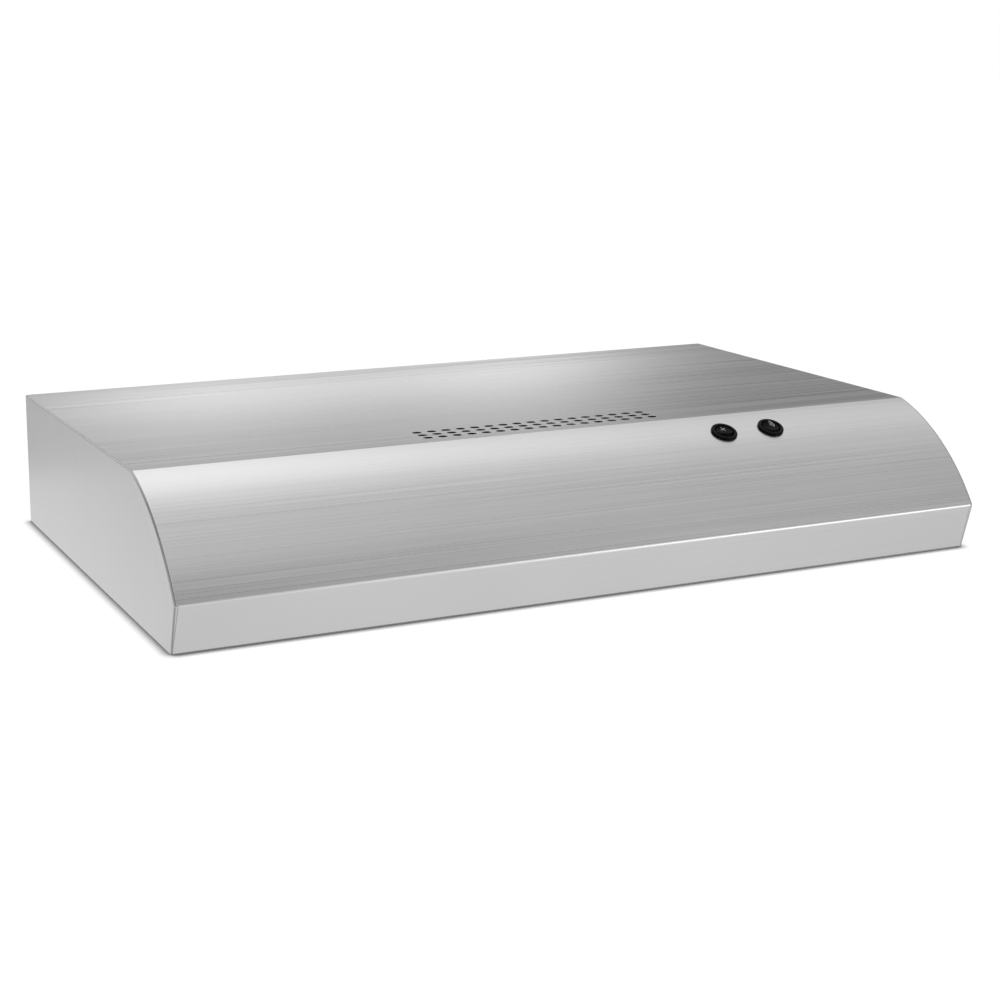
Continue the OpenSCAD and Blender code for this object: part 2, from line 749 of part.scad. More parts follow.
module wiring_screw() {
    color("silver") translate([(box_x[0] + box_x[1]) / 2, -box_d[1] + 5, box_z[0] - box_t])
        screw_up(1.9, 3.8, 6);
}

module terminal_block() {
    x = [246, 294];
    d = [48, 64];
    z = [under_top - 16, under_top - 0.8];
    color("white") difference() {
        slab(x, d, z);
        for (i = [0:2]) translate([x[0] + 8 + 16 * i, 0, 0]) {
            rod_z([0, -56], 3.5, [z[0] - 1, z[0] + 4]);
            rod_y([0, z[0] + 9], 2.5, [d[0] - 1, d[1] + 1]);
        }
    }
}

module ground_screw() {
    color("green") translate([box_x[1] - box_t, -30, 30]) rotate([0, -90, 0]) {
        cylinder(r = 4.5, h = 2.6);
        translate([0, 0, -4]) cylinder(r = 2, h = 4);
    }
}

// ---------------------------------------------------------------- switches

// A round rocker switch's housing; its flange is shaped to the curve of the visor
module switch_body() {
    color("black") union() {
        difference() {
            translate([0, 0, -24]) cylinder(r = barrel_r, h = 24.8);
            translate([0, 0, -9]) cylinder(r = well_r, h = 12);
            translate([-barrel_r - 1, 0, rocker_pivot_z]) rotate([0, 90, 0])
                cylinder(r = 1.06, h = 2 * barrel_r + 2);
        }
        difference() {
            rotate_extrude() polygon(concat(
                [[well_r, -0.8], [bezel_r, -0.8]],
                arc([bezel_r - 1.2, 1], 1.2, 0, 80, 5),
                arc([well_r + 0.6, 1.7], 0.6, 90, 180, 4)));
            translate([0, 0, -visor_r]) rotate([0, 90, 0])
                cylinder(r = visor_r, h = 60, center = true, $fn = 200);
            translate([0, 0, -3]) cylinder(r = well_r, h = 8);
        }
        mirrored() translate([barrel_r - 1, -4, -9]) cube([2.6, 8, 5.9]);
    }
}

module switch_tabs(count) {
    color("goldenrod") for (i = [0:count - 1])
        translate([-2.4, (i - (count - 1) / 2) * 6.5 - 0.4, -32]) cube([4.8, 0.8, 8]);
}

// The rocker: a ball with a dished top, on an axle along X
module rocker() {
    color("black") translate([0, 0, rocker_pivot_z]) {
        difference() {
            intersection() {
                sphere(r = rocker_r);
                translate([-12, -12, -4.5]) cube([24, 24, 9.4]);
            }
            translate([-15, 0, 25.7]) rotate([0, 90, 0]) cylinder(r = 22, h = 30, $fn = 120);
        }
        translate([-9.8, 0, 0]) rotate([0, 90, 0]) cylinder(r = 1, h = 19.6);
    }
}

// ---------------------------------------------------------------- lamp

module lamp_housing() {
    t = 0.8;
    x = housing_x;
    d = housing_d;
    z = [pan_top, housing_top];
    foot = 7;
    color("whitesmoke") {
        slab([-x - t, x + t], [d[0] - t, d[1] + t], [z[1], z[1] + t]);
        slab([-x - t, x + t], [d[0] - t, d[0]], z);
        slab([-x - t, x + t], [d[1], d[1] + t], z);
        mirrored() slab([x, x + t], d, z);
        slab([-x - foot, x + foot], [d[0] - foot, d[0]], [z[0], z[0] + t]);
        mirrored() slab([x, x + foot], [d[0], d[1]], [z[0], z[0] + t]);
        mirrored() difference() {
            union() {
                slab([lamp_x + 0.3, x + t], [d[0], d[0] + 6], [pan_top, pan_top + 3]);
                slab([lamp_x + 0.3, lamp_x + 1.3], [d[0], d[0] + 6], [lens_z[0] - 0.4, pan_top + 3]);
            }
            rod_x(lens_pivot, 1.05, [lamp_x - 1, lamp_x + 1.4]);
        }
    }
}

// The lens is a shallow tray that swings down on two pins at its rear edge
module lamp_lens() {
    x = lamp_x;
    d = lamp_d;
    z = lens_z;
    t = lens_t;
    color("white") union() {
        difference() {
            slab([-x, x], d, z);
            slab([-x + t, x - t], [d[0] + t, d[1] - t], [z[0] + t, z[1] + 1]);
        }
        for (i = [0:7]) slab([-x + t, x - t], [d[0] + 8 + 8 * i - 0.6, d[0] + 8 + 8 * i + 0.6],
            [z[0] + t - eps, z[0] + t + 0.8]);
        mirrored() rod_x(lens_pivot, 1, [x - 1, x + 1.2]);
    }
}

module lamp_socket() {
    color("ivory") translate([0, bulb_c[1], bulb_c[2]]) rotate([0, 90, 0]) difference() {
        union() {
            translate([0, 0, -housing_x]) cylinder(r = 20, h = 4);
            translate([0, 0, -housing_x + 4]) cylinder(r = 17, h = 30);
        }
        translate([0, 0, -housing_x + 6]) cylinder(r = 13.4, h = 40);
    }
}

module lamp_cap() {
    color("silver") translate([0, bulb_c[1], bulb_c[2]]) rotate([0, 90, 0]) rotate_extrude() polygon(concat(
        [[0, -housing_x + 8], [6, -housing_x + 8], [12, -housing_x + 12]],
        [for (i = [0:9]) [12.2 + (i % 2) * 0.8, -housing_x + 13 + 1.8 * i]],
        [[12.4, -housing_x + 32], [0, -housing_x + 32]]));
}

module lamp_bulb() {
    color("white") translate([0, bulb_c[1], bulb_c[2]]) rotate([0, 90, 0])
        rotate_extrude() polygon(concat(bulb_profile(0), reverse(bulb_profile(0.8))));
}

// The glass envelope as [radius, distance along X] points, at a distance inside its outer face
function bulb_profile(inset) = concat(
    [for (i = [0:10]) let (t = i / 10) [12.4 - inset + 8.4 * (1 - cos(180 * t)) / 2,
        -housing_x + 32 + (bulb_c[0] - 11.8 + housing_x - 32) * t]],
    [for (i = [1:16]) let (a = -29.4 + (90 + 29.4) * i / 16) [max((24 - inset) * cos(a), 0),
        bulb_c[0] + (24 - inset) * sin(a)]]);

// ---------------------------------------------------------------- wires

motor_route = [
    [-49.9, -235, 52], [-40, -235, 52.5], [-22, -224, 54], [2, -212, 57], [35, -204, 58],
    [80, -190, 58], [112, -176, 58], [150, -164, 58], [200, -130, 58], [260, -104, 57],
    [287, -96, 54], [297, -84, 50], [297, -68, 50]
];
switch_route = [
    [303, -66, 50], [303, -84, 50], [304, -110, 54], [304, -140, 57], [304, -230, 57],
    [304, -300, 57], [290, -340, 52], [265, -370, 42], [235, -386, 28], [212, -384, 20]
];
lamp_route = [
    [98.6, -400, -20], [108, -399, -19], [130, -392, -8], [145, -388, 2], [155, -385, 10],
    [160, -384, 16]
];

module motor_lead() color("dimgray") tube(smooth(motor_route), 2.2);

module switch_lead() color("dimgray") tube(smooth(switch_route), 2.2);

module lamp_lead() color("dimgray") tube(smooth(lamp_route), 1.6);

module wire_clips() {
    color("white") for (d = [160, 230, 300]) {
        slab([294, 314], [d - 4, d + 4], [under_top - 1, under_top]);
        slab([294, 295], [d - 4, d + 4], [52, under_top]);
        slab([294, 305], [d - 4, d + 4], [52, 53]);
    }
}

// ---------------------------------------------------------------- nodes

canopy_wrapper();
color("silver") mirror([1, 0, 0]) side_panel();  // left_side_panel
color("silver") side_panel();  // right_side_panel
back_panel();
back_flanges();
wall_doublers();
bottom_pan();
pan_brackets();
pan_screws();
rear_filter_rail();
filter_divider();
filter_catches();
color("silver") mirror([1, 0, 0]) filter_frame();  // left_filter_frame
color("gray") mirror([1, 0, 0]) filter_mesh();  // left_filter_mesh
color("silver") mirror([1, 0, 0]) filter_pull();  // left_filter_pull
color("silver") filter_frame();  // right_filter_frame
color("gray") filter_mesh();  // right_filter_mesh
color("silver") filter_pull();  // right_filter_pull
blower_volute();
blower_cover();
inlet_ring();
blower_brackets();
blower_screws();
fan_wheel();
wheel_nut();
motor_shaft();
motor_can();
motor_mount();
motor_grommets();
motor_screws();
run_capacitor();
capacitor_clip();
outlet_duct();
duct_gasket();
duct_rivets();
damper_flap();
damper_pin();
vent_baffle();
wiring_box();
wiring_cover();
wiring_screw();
terminal_block();
ground_screw();
on_visor(switch_x) switch_body();  // fan_switch_body
on_visor(switch_x) switch_tabs(3);  // fan_switch_tabs
on_visor(switch_x) rocker();  // fan_rocker
on_visor(switch_x - switch_pitch) switch_body();  // light_switch_body
on_visor(switch_x - switch_pitch) switch_tabs(2);  // light_switch_tabs
on_visor(switch_x - switch_pitch)  // light_rocker
    translate([0, 0, rocker_pivot_z]) rotate([light_rest_tilt, 0, 0])
        translate([0, 0, -rocker_pivot_z]) rocker();
lamp_housing();
lamp_socket();
lamp_cap();
lamp_bulb();
lamp_lens();
motor_lead();
switch_lead();
lamp_lead();
wire_clips();
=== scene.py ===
"""The looks of the under cabinet range hood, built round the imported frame.

Units are metres and the frame is the CAD model's: +X right, +Y into the wall, +Z up, with the
origin in the middle of the wall face.
"""

import json
import math
from functools import partial

import bmesh
import bpy
from mathutils import Matrix, Vector


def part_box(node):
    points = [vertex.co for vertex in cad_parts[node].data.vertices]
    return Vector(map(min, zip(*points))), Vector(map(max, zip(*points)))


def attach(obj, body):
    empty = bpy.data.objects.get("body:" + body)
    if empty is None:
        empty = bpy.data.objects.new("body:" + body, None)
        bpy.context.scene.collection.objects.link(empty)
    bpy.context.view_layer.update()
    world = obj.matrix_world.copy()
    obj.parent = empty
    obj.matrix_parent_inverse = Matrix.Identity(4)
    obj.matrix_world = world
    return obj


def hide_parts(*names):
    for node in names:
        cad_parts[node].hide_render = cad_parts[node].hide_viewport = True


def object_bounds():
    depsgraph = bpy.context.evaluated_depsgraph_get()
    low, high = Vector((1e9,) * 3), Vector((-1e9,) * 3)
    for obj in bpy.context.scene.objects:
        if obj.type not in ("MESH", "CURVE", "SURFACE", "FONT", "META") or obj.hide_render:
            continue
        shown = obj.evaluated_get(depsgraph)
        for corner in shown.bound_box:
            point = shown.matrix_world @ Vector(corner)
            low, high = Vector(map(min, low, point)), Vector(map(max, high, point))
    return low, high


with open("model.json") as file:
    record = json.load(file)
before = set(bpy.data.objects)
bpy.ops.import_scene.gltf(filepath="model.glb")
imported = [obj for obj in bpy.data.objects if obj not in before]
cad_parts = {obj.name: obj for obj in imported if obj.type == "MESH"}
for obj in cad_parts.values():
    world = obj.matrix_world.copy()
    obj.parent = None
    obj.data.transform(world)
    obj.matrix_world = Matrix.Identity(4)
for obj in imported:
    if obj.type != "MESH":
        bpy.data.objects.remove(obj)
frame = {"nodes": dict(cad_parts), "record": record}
cad_low, cad_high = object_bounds()
nodes = frame["nodes"]

MM = 0.001
HALF_W = cad_high.x
TOP = cad_high.z
RIM = cad_low.z

# ------------------------------------------------------------------ camera

# From a fit to the photograph's straight edges, with the shift held small for the other views.
CAMERA_PLACE = Vector((-0.7893, -1.8770, 0.4060))
CAMERA_YAW = 26.09
CAMERA_PITCH = 10.54
CAMERA_ROLL = 0.16
CAMERA_LENS = 70.8
CAMERA_SHIFT = -0.1


def make_camera():
    data = bpy.data.cameras.new("camera")
    data.sensor_width = 36.0
    data.lens = CAMERA_LENS
    data.shift_y = CAMERA_SHIFT
    data.clip_start = 0.05
    data.clip_end = 100.0
    camera = bpy.data.objects.new("camera", data)
    turn = (
        Matrix.Rotation(math.radians(-CAMERA_YAW), 4, "Z")
        @ Matrix.Rotation(math.radians(90 - CAMERA_PITCH), 4, "X")
        @ Matrix.Rotation(math.radians(CAMERA_ROLL), 4, "Z")
    )
    camera.matrix_world = Matrix.Translation(CAMERA_PLACE) @ turn
    bpy.context.scene.collection.objects.link(camera)
    bpy.context.scene.camera = camera


make_camera()

# ------------------------------------------------------------------ shader helpers


class Shader:
    """A material or world tree with short ways to add and join nodes."""

    def __init__(self, tree):
        self.tree = tree
        tree.nodes.clear()

    def add(self, kind, inputs=None, **settings):
        node = self.tree.nodes.new("ShaderNode" + kind)
        for key, value in settings.items():
            setattr(node, key, value)
        for key, value in (inputs or {}).items():
            if isinstance(value, bpy.types.NodeSocket):
                self.tree.links.new(value, node.inputs[key])
            else:
                node.inputs[key].default_value = value
        return node

    def place(self, scale):
        """Object coordinates in metres, multiplied by scale."""
        source = self.add("TexCoord").outputs["Object"]
        return self.add("Mapping", {"Vector": source, "Scale": scale}).outputs["Vector"]

    def noise(self, vector, scale=1.0, detail=2.0, roughness=0.5):
        values = {"Vector": vector, "Scale": scale, "Detail": detail, "Roughness": roughness}
        return self.add("TexNoise", values).outputs["Fac"]

    def math(self, operation, a, b=0.0):
        return self.add("Math", {0: a, 1: b}, operation=operation).outputs[0]

    def remap(self, value, low, high, start=0.0, end=1.0):
        """Stretches the span from start to end onto the span from low to high."""
        values = {"Value": value, "From Min": start, "From Max": end, "To Min": low, "To Max": high}
        return self.add("MapRange", values).outputs["Result"]

    def ramp(self, value, stops):
        """A blend between two (place, colour) stops."""
        node = self.add("ValToRGB", {"Fac": value})
        for element, (place, colour) in zip(node.color_ramp.elements, stops):
            element.position = place
            element.color = (*colour, 1.0)
        return node.outputs["Color"]

    def bump(self, height, distance, strength):
        values = {"Height": height, "Distance": distance, "Strength": strength}
        return self.add("Bump", values).outputs["Normal"]


def grey(level, warmth=0.0):
    return (level * (1 + warmth), level, level * (1 - warmth))


def new_material(name):
    material = bpy.data.materials.new(name)
    material.use_nodes = True
    return material, Shader(material.node_tree)


def finish_material(shader, **inputs):
    values = {key.replace("_", " "): value for key, value in inputs.items()}
    surface = shader.add("BsdfPrincipled", values)
    shader.add("OutputMaterial", {"Surface": surface.outputs["BSDF"]})


# ------------------------------------------------------------------ materials


def brushed_steel(name, level, grain, rough, streak=1.0, calm=None):
    """Stainless sheet, brushed along one axis; the streaks fade over the heights in calm."""
    material, s = new_material(name)

    def along(length, width, shallow):
        """Streaks along the grain; shallow is their width along the depth of a flat top."""
        scale = {"X": 1 / width, "Y": 1 / shallow, "Z": 1 / width}
        scale[grain] = 1 / length
        return s.place((scale["X"], scale["Y"], scale["Z"]))

    fine = s.noise(along(0.5, 0.0011, 0.0045), detail=2.0, roughness=0.6)
    broad = s.noise(along(0.9, 0.0030, 0.0110), detail=2.0)
    cloud = s.noise(s.place((9.0, 9.0, 9.0)), detail=3.0)
    mixed = s.math("ADD", s.math("MULTIPLY", fine, 0.8), s.math("MULTIPLY", broad, 0.2))
    drift = s.math("MULTIPLY", s.math("SUBTRACT", cloud, 0.5), 0.2)
    if calm:
        height = s.add("SeparateXYZ", {"Vector": s.place((1, 1, 1))}).outputs["Z"]
        fade = s.remap(height, 0.22, 1.0, *calm)
        mixed = s.math("ADD", s.math("MULTIPLY", s.math("SUBTRACT", mixed, 0.5), fade), 0.5)
    tint = s.remap(s.math("ADD", mixed, drift), 0.0, 1.0, 0.2, 0.8)
    low = level * (1 - 0.12 * streak)
    high = level * (1 + 0.12 * streak)
    colour = s.ramp(tint, [(0.0, grey(low)), (1.0, grey(high))])
    roughness = s.remap(mixed, rough * (1 - 0.15 * streak), rough * (1 + 0.15 * streak), 0.3, 0.7)
    normal = s.bump(mixed, 0.00003, 0.5)
    direction = s.add("CombineXYZ", {axis: 1.0 if axis == grain else 0.0 for axis in "XYZ"})
    finish_material(
        s,
        Base_Color=colour,
        Metallic=1.0,
        Roughness=roughness,
        Anisotropic=0.6,
        Anisotropic_Rotation=0.25,
        Tangent=direction.outputs["Vector"],
        Normal=normal,
    )
    return material


def galvanised(name, level=0.55):
    """Zinc coated sheet with faint spangle."""
    material, s = new_material(name)
    cells = s.add("TexVoronoi", {"Vector": s.place((1, 1, 1)), "Scale": 120.0, "Randomness": 1.0})
    spangle = s.add("SeparateColor", {"Color": cells.outputs["Color"]}).outputs["Red"]
    fine = s.noise(s.place((1, 1, 1)), 700.0, 3.0)
    tint = s.math("ADD", s.math("MULTIPLY", spangle, 0.7), s.math("MULTIPLY", fine, 0.3))
    colour = s.ramp(tint, [(0.0, grey(level * 0.88, -0.01)), (1.0, grey(level * 1.12, -0.02))])
    finish_material(
        s,
        Base_Color=colour,
        Metallic=1.0,
        Roughness=s.remap(tint, 0.34, 0.5),
        Normal=s.bump(fine, 0.00002, 0.25),
    )
    return material


def enamel(name, colour, rough=0.3):
    """Stoved paint with a light orange peel."""
    material, s = new_material(name)
    peel = s.noise(s.place((1, 1, 1)), 420.0, 2.0)
    shade = s.noise(s.place((1, 1, 1)), 12.0, 2.0)
    dark = tuple(c * 0.9 for c in colour)
    finish_material(
        s,
        Base_Color=s.ramp(shade, [(0.3, dark), (0.7, colour)]),
        Roughness=s.remap(peel, rough * 0.85, rough * 1.2, 0.3, 0.7),
        Normal=s.bump(peel, 0.00006, 0.3),
    )
    return material


def plain_metal(name, colour, rough, scratch=0.3):
    """Plated or drawn metal with fine random scratches."""
    material, s = new_material(name)
    fine = s.noise(s.place((260, 260, 1900)), 1.0, 3.0, 0.6)
    cloud = s.noise(s.place((1, 1, 1)), 60.0, 2.0)
    dark = tuple(c * 0.86 for c in colour)
    finish_material(
        s,
        Base_Color=s.ramp(cloud, [(0.3, dark), (0.7, colour)]),
        Metallic=1.0,
        Roughness=s.remap(fine, rough * 0.8, rough * 1.3, 0.3, 0.7),
        Normal=s.bump(fine, 0.00001, scratch),
    )
    return material


def plastic(name, colour, rough, grain=0.3, shine=0.5):
    """Moulded plastic with a fine spark-eroded texture."""
    material, s = new_material(name)
    texture = s.noise(s.place((1, 1, 1)), 2600.0, 2.0)
    cloud = s.noise(s.place((1, 1, 1)), 40.0, 2.0)
    dark = tuple(c * 0.9 for c in colour)
    finish_material(
        s,
        Base_Color=s.ramp(cloud, [(0.3, dark), (0.7, colour)]),
        Roughness=s.remap(texture, rough * 0.85, rough * 1.15, 0.3, 0.7),
        Specular_IOR_Level=shine,
        Normal=s.bump(texture, 0.00002, grain),
    )
    return material


def rubber(name, level):
    material, s = new_material(name)
    texture = s.noise(s.place((1, 1, 1)), 1500.0, 3.0)
    finish_material(
        s,
        Base_Color=s.ramp(texture, [(0.3, grey(level * 0.8)), (0.7, grey(level * 1.15))]),
        Roughness=s.remap(texture, 0.62, 0.8, 0.3, 0.7),
        Normal=s.bump(texture, 0.00003, 0.4),
    )
    return material


def frosted(name, colour, rough, transmission):
    """Frosted glass or diffusing plastic."""
    material, s = new_material(name)
    texture = s.noise(s.place((1, 1, 1)), 1800.0, 2.0)
    finish_material(
        s,
        Base_Color=s.ramp(texture, [(0.3, tuple(c * 0.95 for c in colour)), (0.7, colour)]),
        Roughness=s.remap(texture, rough * 0.9, rough * 1.1, 0.3, 0.7),
        Transmission_Weight=transmission,
        IOR=1.49,
        Normal=s.bump(texture, 0.00002, 0.2),
    )
    return material


BY_SLOT = {
    "brushed_stainless": brushed_steel("brushed_stainless", 0.62, "X", 0.30, calm=(-0.03, -0.015)),
    "side_stainless": brushed_steel("side_stainless", 0.60, "Z", 0.34, streak=0.4),
    "pan_sheet": brushed_steel("pan_sheet", 0.62, "X", 0.32, streak=0.7),
    "galvanised_sheet": galvanised("galvanised_sheet"),
    "spring_steel": plain_metal("spring_steel", (0.66, 0.66, 0.67), 0.2),
    "zinc_screws": plain_metal("zinc_screws", (0.64, 0.63, 0.60), 0.26),
    "green_screw": enamel("green_screw", (0.03, 0.22, 0.07), 0.35),
    "filter_aluminium": plain_metal("filter_aluminium", (0.66, 0.67, 0.68), 0.34),
    "mesh_aluminium": plain_metal("mesh_aluminium", (0.60, 0.61, 0.62), 0.38),
    "blower_paint": enamel("blower_paint", (0.02, 0.02, 0.022), 0.32),
    "wheel_aluminium": plain_metal("wheel_aluminium", (0.55, 0.56, 0.57), 0.36),
    "motor_steel": enamel("motor_steel", (0.09, 0.09, 0.10), 0.36),
    "black_rubber": rubber("black_rubber", 0.018),
    "white_plastic": plastic("white_plastic", (0.80, 0.80, 0.77), 0.42),
    "damper_aluminium": plain_metal("damper_aluminium", (0.64, 0.65, 0.66), 0.3),
    "black_bezel": plastic("black_bezel", (0.002, 0.002, 0.002), 0.36, 0.15, shine=0.07),
    "black_rocker": plastic("black_rocker", (0.002, 0.002, 0.002), 0.5, 0.25, shine=0.06),
    "brass_tab": plain_metal("brass_tab", (0.72, 0.52, 0.22), 0.25),
    "white_enamel": enamel("white_enamel", (0.82, 0.82, 0.79), 0.28),
    "ceramic_socket": enamel("ceramic_socket", (0.80, 0.78, 0.72), 0.16),
    "lamp_cap_metal": plain_metal("lamp_cap_metal", (0.68, 0.68, 0.67), 0.22),
    "bulb_glass": frosted("bulb_glass", (0.95, 0.95, 0.93), 0.35, 0.6),
    "lens_plastic": frosted("lens_plastic", (0.93, 0.94, 0.93), 0.28, 0.75),
    "grey_cable": rubber("grey_cable", 0.06),
}

# Near-black faces on the cut edges of the wrapper sheet: partly real, as a sheared edge is duller than
# the brushed face, but mostly painted shade that darkens the vent holes.
SHADED_CUT_EDGE = rubber("cut_edge_painted_shade", 0.008)

# ------------------------------------------------------------------ canopy outline

SHEET = 0.9 * MM
TOP_DEPTH = 371 * MM
FRONT = 482 * MM
VISOR_R = 195 * MM
CREASE_R = 3 * MM
BEND_R = 3 * MM
RIM_R = 1.6 * MM
LIP_RISE = 42.5 * MM
LIP_BACK = 13.5 * MM
LIP_UP = Vector((LIP_BACK, LIP_RISE)).normalized()
LIP_TOP = Vector((FRONT, RIM + LIP_RISE))
HEM = 14 * MM
HEM_EDGE = FRONT - LIP_BACK - HEM
CREASE_STEPS = 4
BEND_STEPS = 6


def unit_at(degrees):
    return Vector((math.cos(math.radians(degrees)), math.sin(math.radians(degrees))))


def angle_of(vector):
    return math.degrees(math.atan2(vector.y, vector.x))


def find_outline():
    """Centres of the four arcs of the canopy as (depth, height), and the angles where they meet."""
    edge = Vector((TOP_DEPTH, TOP))
    chord = LIP_TOP - edge
    sagitta = math.sqrt(VISOR_R**2 - chord.length_squared / 4)
    visor = (edge + LIP_TOP) / 2 + sagitta * Vector((chord.y, -chord.x)).normalized()
    level = TOP - CREASE_R
    reach = math.sqrt((VISOR_R - CREASE_R) ** 2 - (level - visor.y) ** 2)
    crease = Vector((visor.x + reach, level))
    inwards = Vector((-LIP_UP.y, LIP_UP.x))
    start = LIP_TOP + BEND_R * inwards
    along = (start - visor).dot(LIP_UP)
    root = math.sqrt(along**2 - (start - visor).length_squared + (VISOR_R - BEND_R) ** 2)
    bend = start + LIP_UP * (root - along)
    start = LIP_TOP + RIM_R * inwards
    rim = start + LIP_UP * (RIM + RIM_R - start.y) / LIP_UP.y
    return visor, crease, bend, rim, angle_of(-inwards)


VISOR, CREASE, BEND, RIM_ARC, LIP_ANGLE = find_outline()
CREASE_ANGLE = angle_of(CREASE - VISOR)
BEND_ANGLE = angle_of(BEND - VISOR)
SWITCH_DROP = 30 * MM
SWITCH_ANGLE = CREASE_ANGLE - math.degrees(SWITCH_DROP / VISOR_R)
SWITCH_CELL = 14 * MM
SWITCH_PLACES = (160 * MM, 210 * MM)
CELL_ANGLE = math.degrees(SWITCH_CELL / VISOR_R)


def spread(start, end, steps, first=0):
    """Evenly spaced values from start to end, leaving out those before the step numbered first."""
    return [start + (end - start) * i / steps for i in range(first, steps + 1)]


def arc(centre, radius, start, end, steps, first=0):
    """Stations (point, outward normal) along an arc."""
    normals = [unit_at(degrees) for degrees in spread(start, end, steps, first)]
    return [(centre + radius * normal, normal) for normal in normals]


def outline(visor_steps):
    """Stations along the crease, the visor, the bend, the lip and the rim.

    The visor has steps above, beside and below the switches.
    """
    low = SWITCH_ANGLE - CELL_ANGLE
    high = SWITCH_ANGLE + CELL_ANGLE
    upper, middle, lower = visor_steps
    return (
        arc(CREASE, CREASE_R, 90, CREASE_ANGLE, CREASE_STEPS)
        + arc(VISOR, VISOR_R, CREASE_ANGLE, high, upper, 1)
        + arc(VISOR, VISOR_R, high, low, middle, 1)
        + arc(VISOR, VISOR_R, low, BEND_ANGLE, lower, 1)
        + arc(BEND, BEND_R, BEND_ANGLE, LIP_ANGLE, BEND_STEPS, 1)
        + arc(RIM_ARC, RIM_R, LIP_ANGLE, -90, BEND_STEPS)
    )


def new_piece(name, vertices, faces, slot, body="canopy", material=None):
    """A mesh piece that rides on a CAD body."""
    mesh = bpy.data.meshes.new(name)
    mesh.from_pydata([tuple(v) for v in vertices], [], faces)
    mesh.validate()
    mesh.shade_smooth()
    mesh.materials.append(material or BY_SLOT[slot])
    piece = bpy.data.objects.new(name, mesh)
    bpy.context.scene.collection.objects.link(piece)
    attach(piece, body)
    return piece


def soften(piece, width, angle=40):
    """Rounded edges, with flat faces kept flat."""
    edges = piece.modifiers.new("edges", "BEVEL")
    edges.width = width
    edges.segments = 2
    edges.limit_method = "ANGLE"
    edges.angle_limit = math.radians(angle)
    normals = piece.modifiers.new("normals", "WEIGHTED_NORMAL")
    normals.keep_sharp = True


# ------------------------------------------------------------------ canopy wrapper

VENT_COLUMNS = 17
VENT_ROWS = 3
VENT_PITCH = (14 * MM, 12 * MM)
VENT_DEPTH = 340.5 * MM
VENT_SLOT = (8.4 * MM, 7.2 * MM)
VENT_STEPS = 8
VENT_HALF = (VENT_COLUMNS * VENT_PITCH[0] / 2, VENT_ROWS * VENT_PITCH[1] / 2)
HOLE_R = 10.3 * MM
HOLE_STEPS = 10
HOLE_RINGS = (0.5, 0.8, 1.0)
TOP_STEPS = 9
VISOR_STEPS = (4, HOLE_STEPS, 24)
LEFT_STEPS = 12
MIDDLE_STEPS = 2
RIGHT_STEPS = 7
SWITCH_ROW = TOP_STEPS + VENT_ROWS * VENT_STEPS + 1 + CREASE_STEPS + VISOR_STEPS[0]
SEAM = {-1: 0.3 * MM, 1: 0.2 * MM}
PLATE = 1.1 * MM
LIP_STRIP = 2.0 * MM
LIP_CLEAR = 2 * MM
LIP_SLOPE = -0.29
BEND_SLOPE = 0.95
WRAPPER_BEVEL = 0.18 * MM


def slot_reach(direction, length, width):
    """Distance from the middle of a round-ended slot to its edge."""
    half = (length - width) / 2
    radius = width / 2
    ahead = abs(direction.x) * half
    return ahead + math.sqrt(radius**2 - (half * direction.y) ** 2)


def on_lip(point, normal):
    """Whether a station is on the lip or on the bend above it, clear of the rim."""
    straight = normal.y < LIP_SLOPE and point.y > RIM + LIP_CLEAR
    bent = normal.y < 0 and normal.x > BEND_SLOPE
    return straight or bent


def wrapper_end(side, station):
    """Where the wrapper stops short of the side plate, further in at the top of the lip."""
    point, normal = station
    edge = HALF_W - PLATE - SEAM[side]
    if on_lip(point, normal):
        rise = max(0.0, (point.y - RIM) / (LIP_TOP.y - RIM))
        edge -= LIP_STRIP * min(rise, 1.0)
    return side * edge


def wrapper_stations():
    """Stations from the wall over the top, down the visor and lip to the hem's inner edge."""
    vent_from, vent_to = VENT_DEPTH - VENT_HALF[1], VENT_DEPTH + VENT_HALF[1]
    depths = spread(0, vent_from, TOP_STEPS)
    depths += spread(vent_from, vent_to, VENT_ROWS * VENT_STEPS, 1)
    stations = [(Vector((depth, TOP)), Vector((0, 1))) for depth in depths]
    stations += outline(VISOR_STEPS)
    stations.append((Vector((HEM_EDGE, RIM)), Vector((0, -1))))
    return stations


def wrapper_columns():
    """Places of the columns along X, and the numbers of the first column of each switch."""
    columns = spread(-HALF_W, -VENT_HALF[0], LEFT_STEPS)
    columns += spread(-VENT_HALF[0], VENT_HALF[0], VENT_COLUMNS * VENT_STEPS, 1)
    starts = []
    for place in SWITCH_PLACES:
        columns += spread(columns[-1], place - SWITCH_CELL, MIDDLE_STEPS, 1)
        starts.append(len(columns) - 1)
        columns += spread(place - SWITCH_CELL, place + SWITCH_CELL, HOLE_STEPS, 1)
    columns += spread(columns[-1], HALF_W, RIGHT_STEPS, 1)
    return columns, starts


def vent_edge(offset):
    """The point of a vent slot's edge in the direction of offset."""
    direction = offset.normalized()
    return direction * slot_reach(direction, *VENT_SLOT)


def switch_edge(offset):
    return offset.normalized() * HOLE_R


def on_top(middle_x, depth, at):
    return (middle_x + at.x, -depth - at.y, TOP)


def on_visor(middle_x, at):
    point = VISOR + VISOR_R * unit_at(SWITCH_ANGLE - math.degrees(at.y / VISOR_R))
    return (middle_x + at.x, -point.x, point.y)


def cell_loop(i0, j0, steps):
    """The grid places round a square cell of the grid."""
    i1, j1 = i0 + steps, j0 + steps
    return (
        [(i, j1) for i in range(i0, i1)]
        + [(i1, j) for j in range(j1, j0, -1)]
        + [(i, j0) for i in range(i1, i0, -1)]
        + [(i0, j) for j in range(j0, j1)]
    )


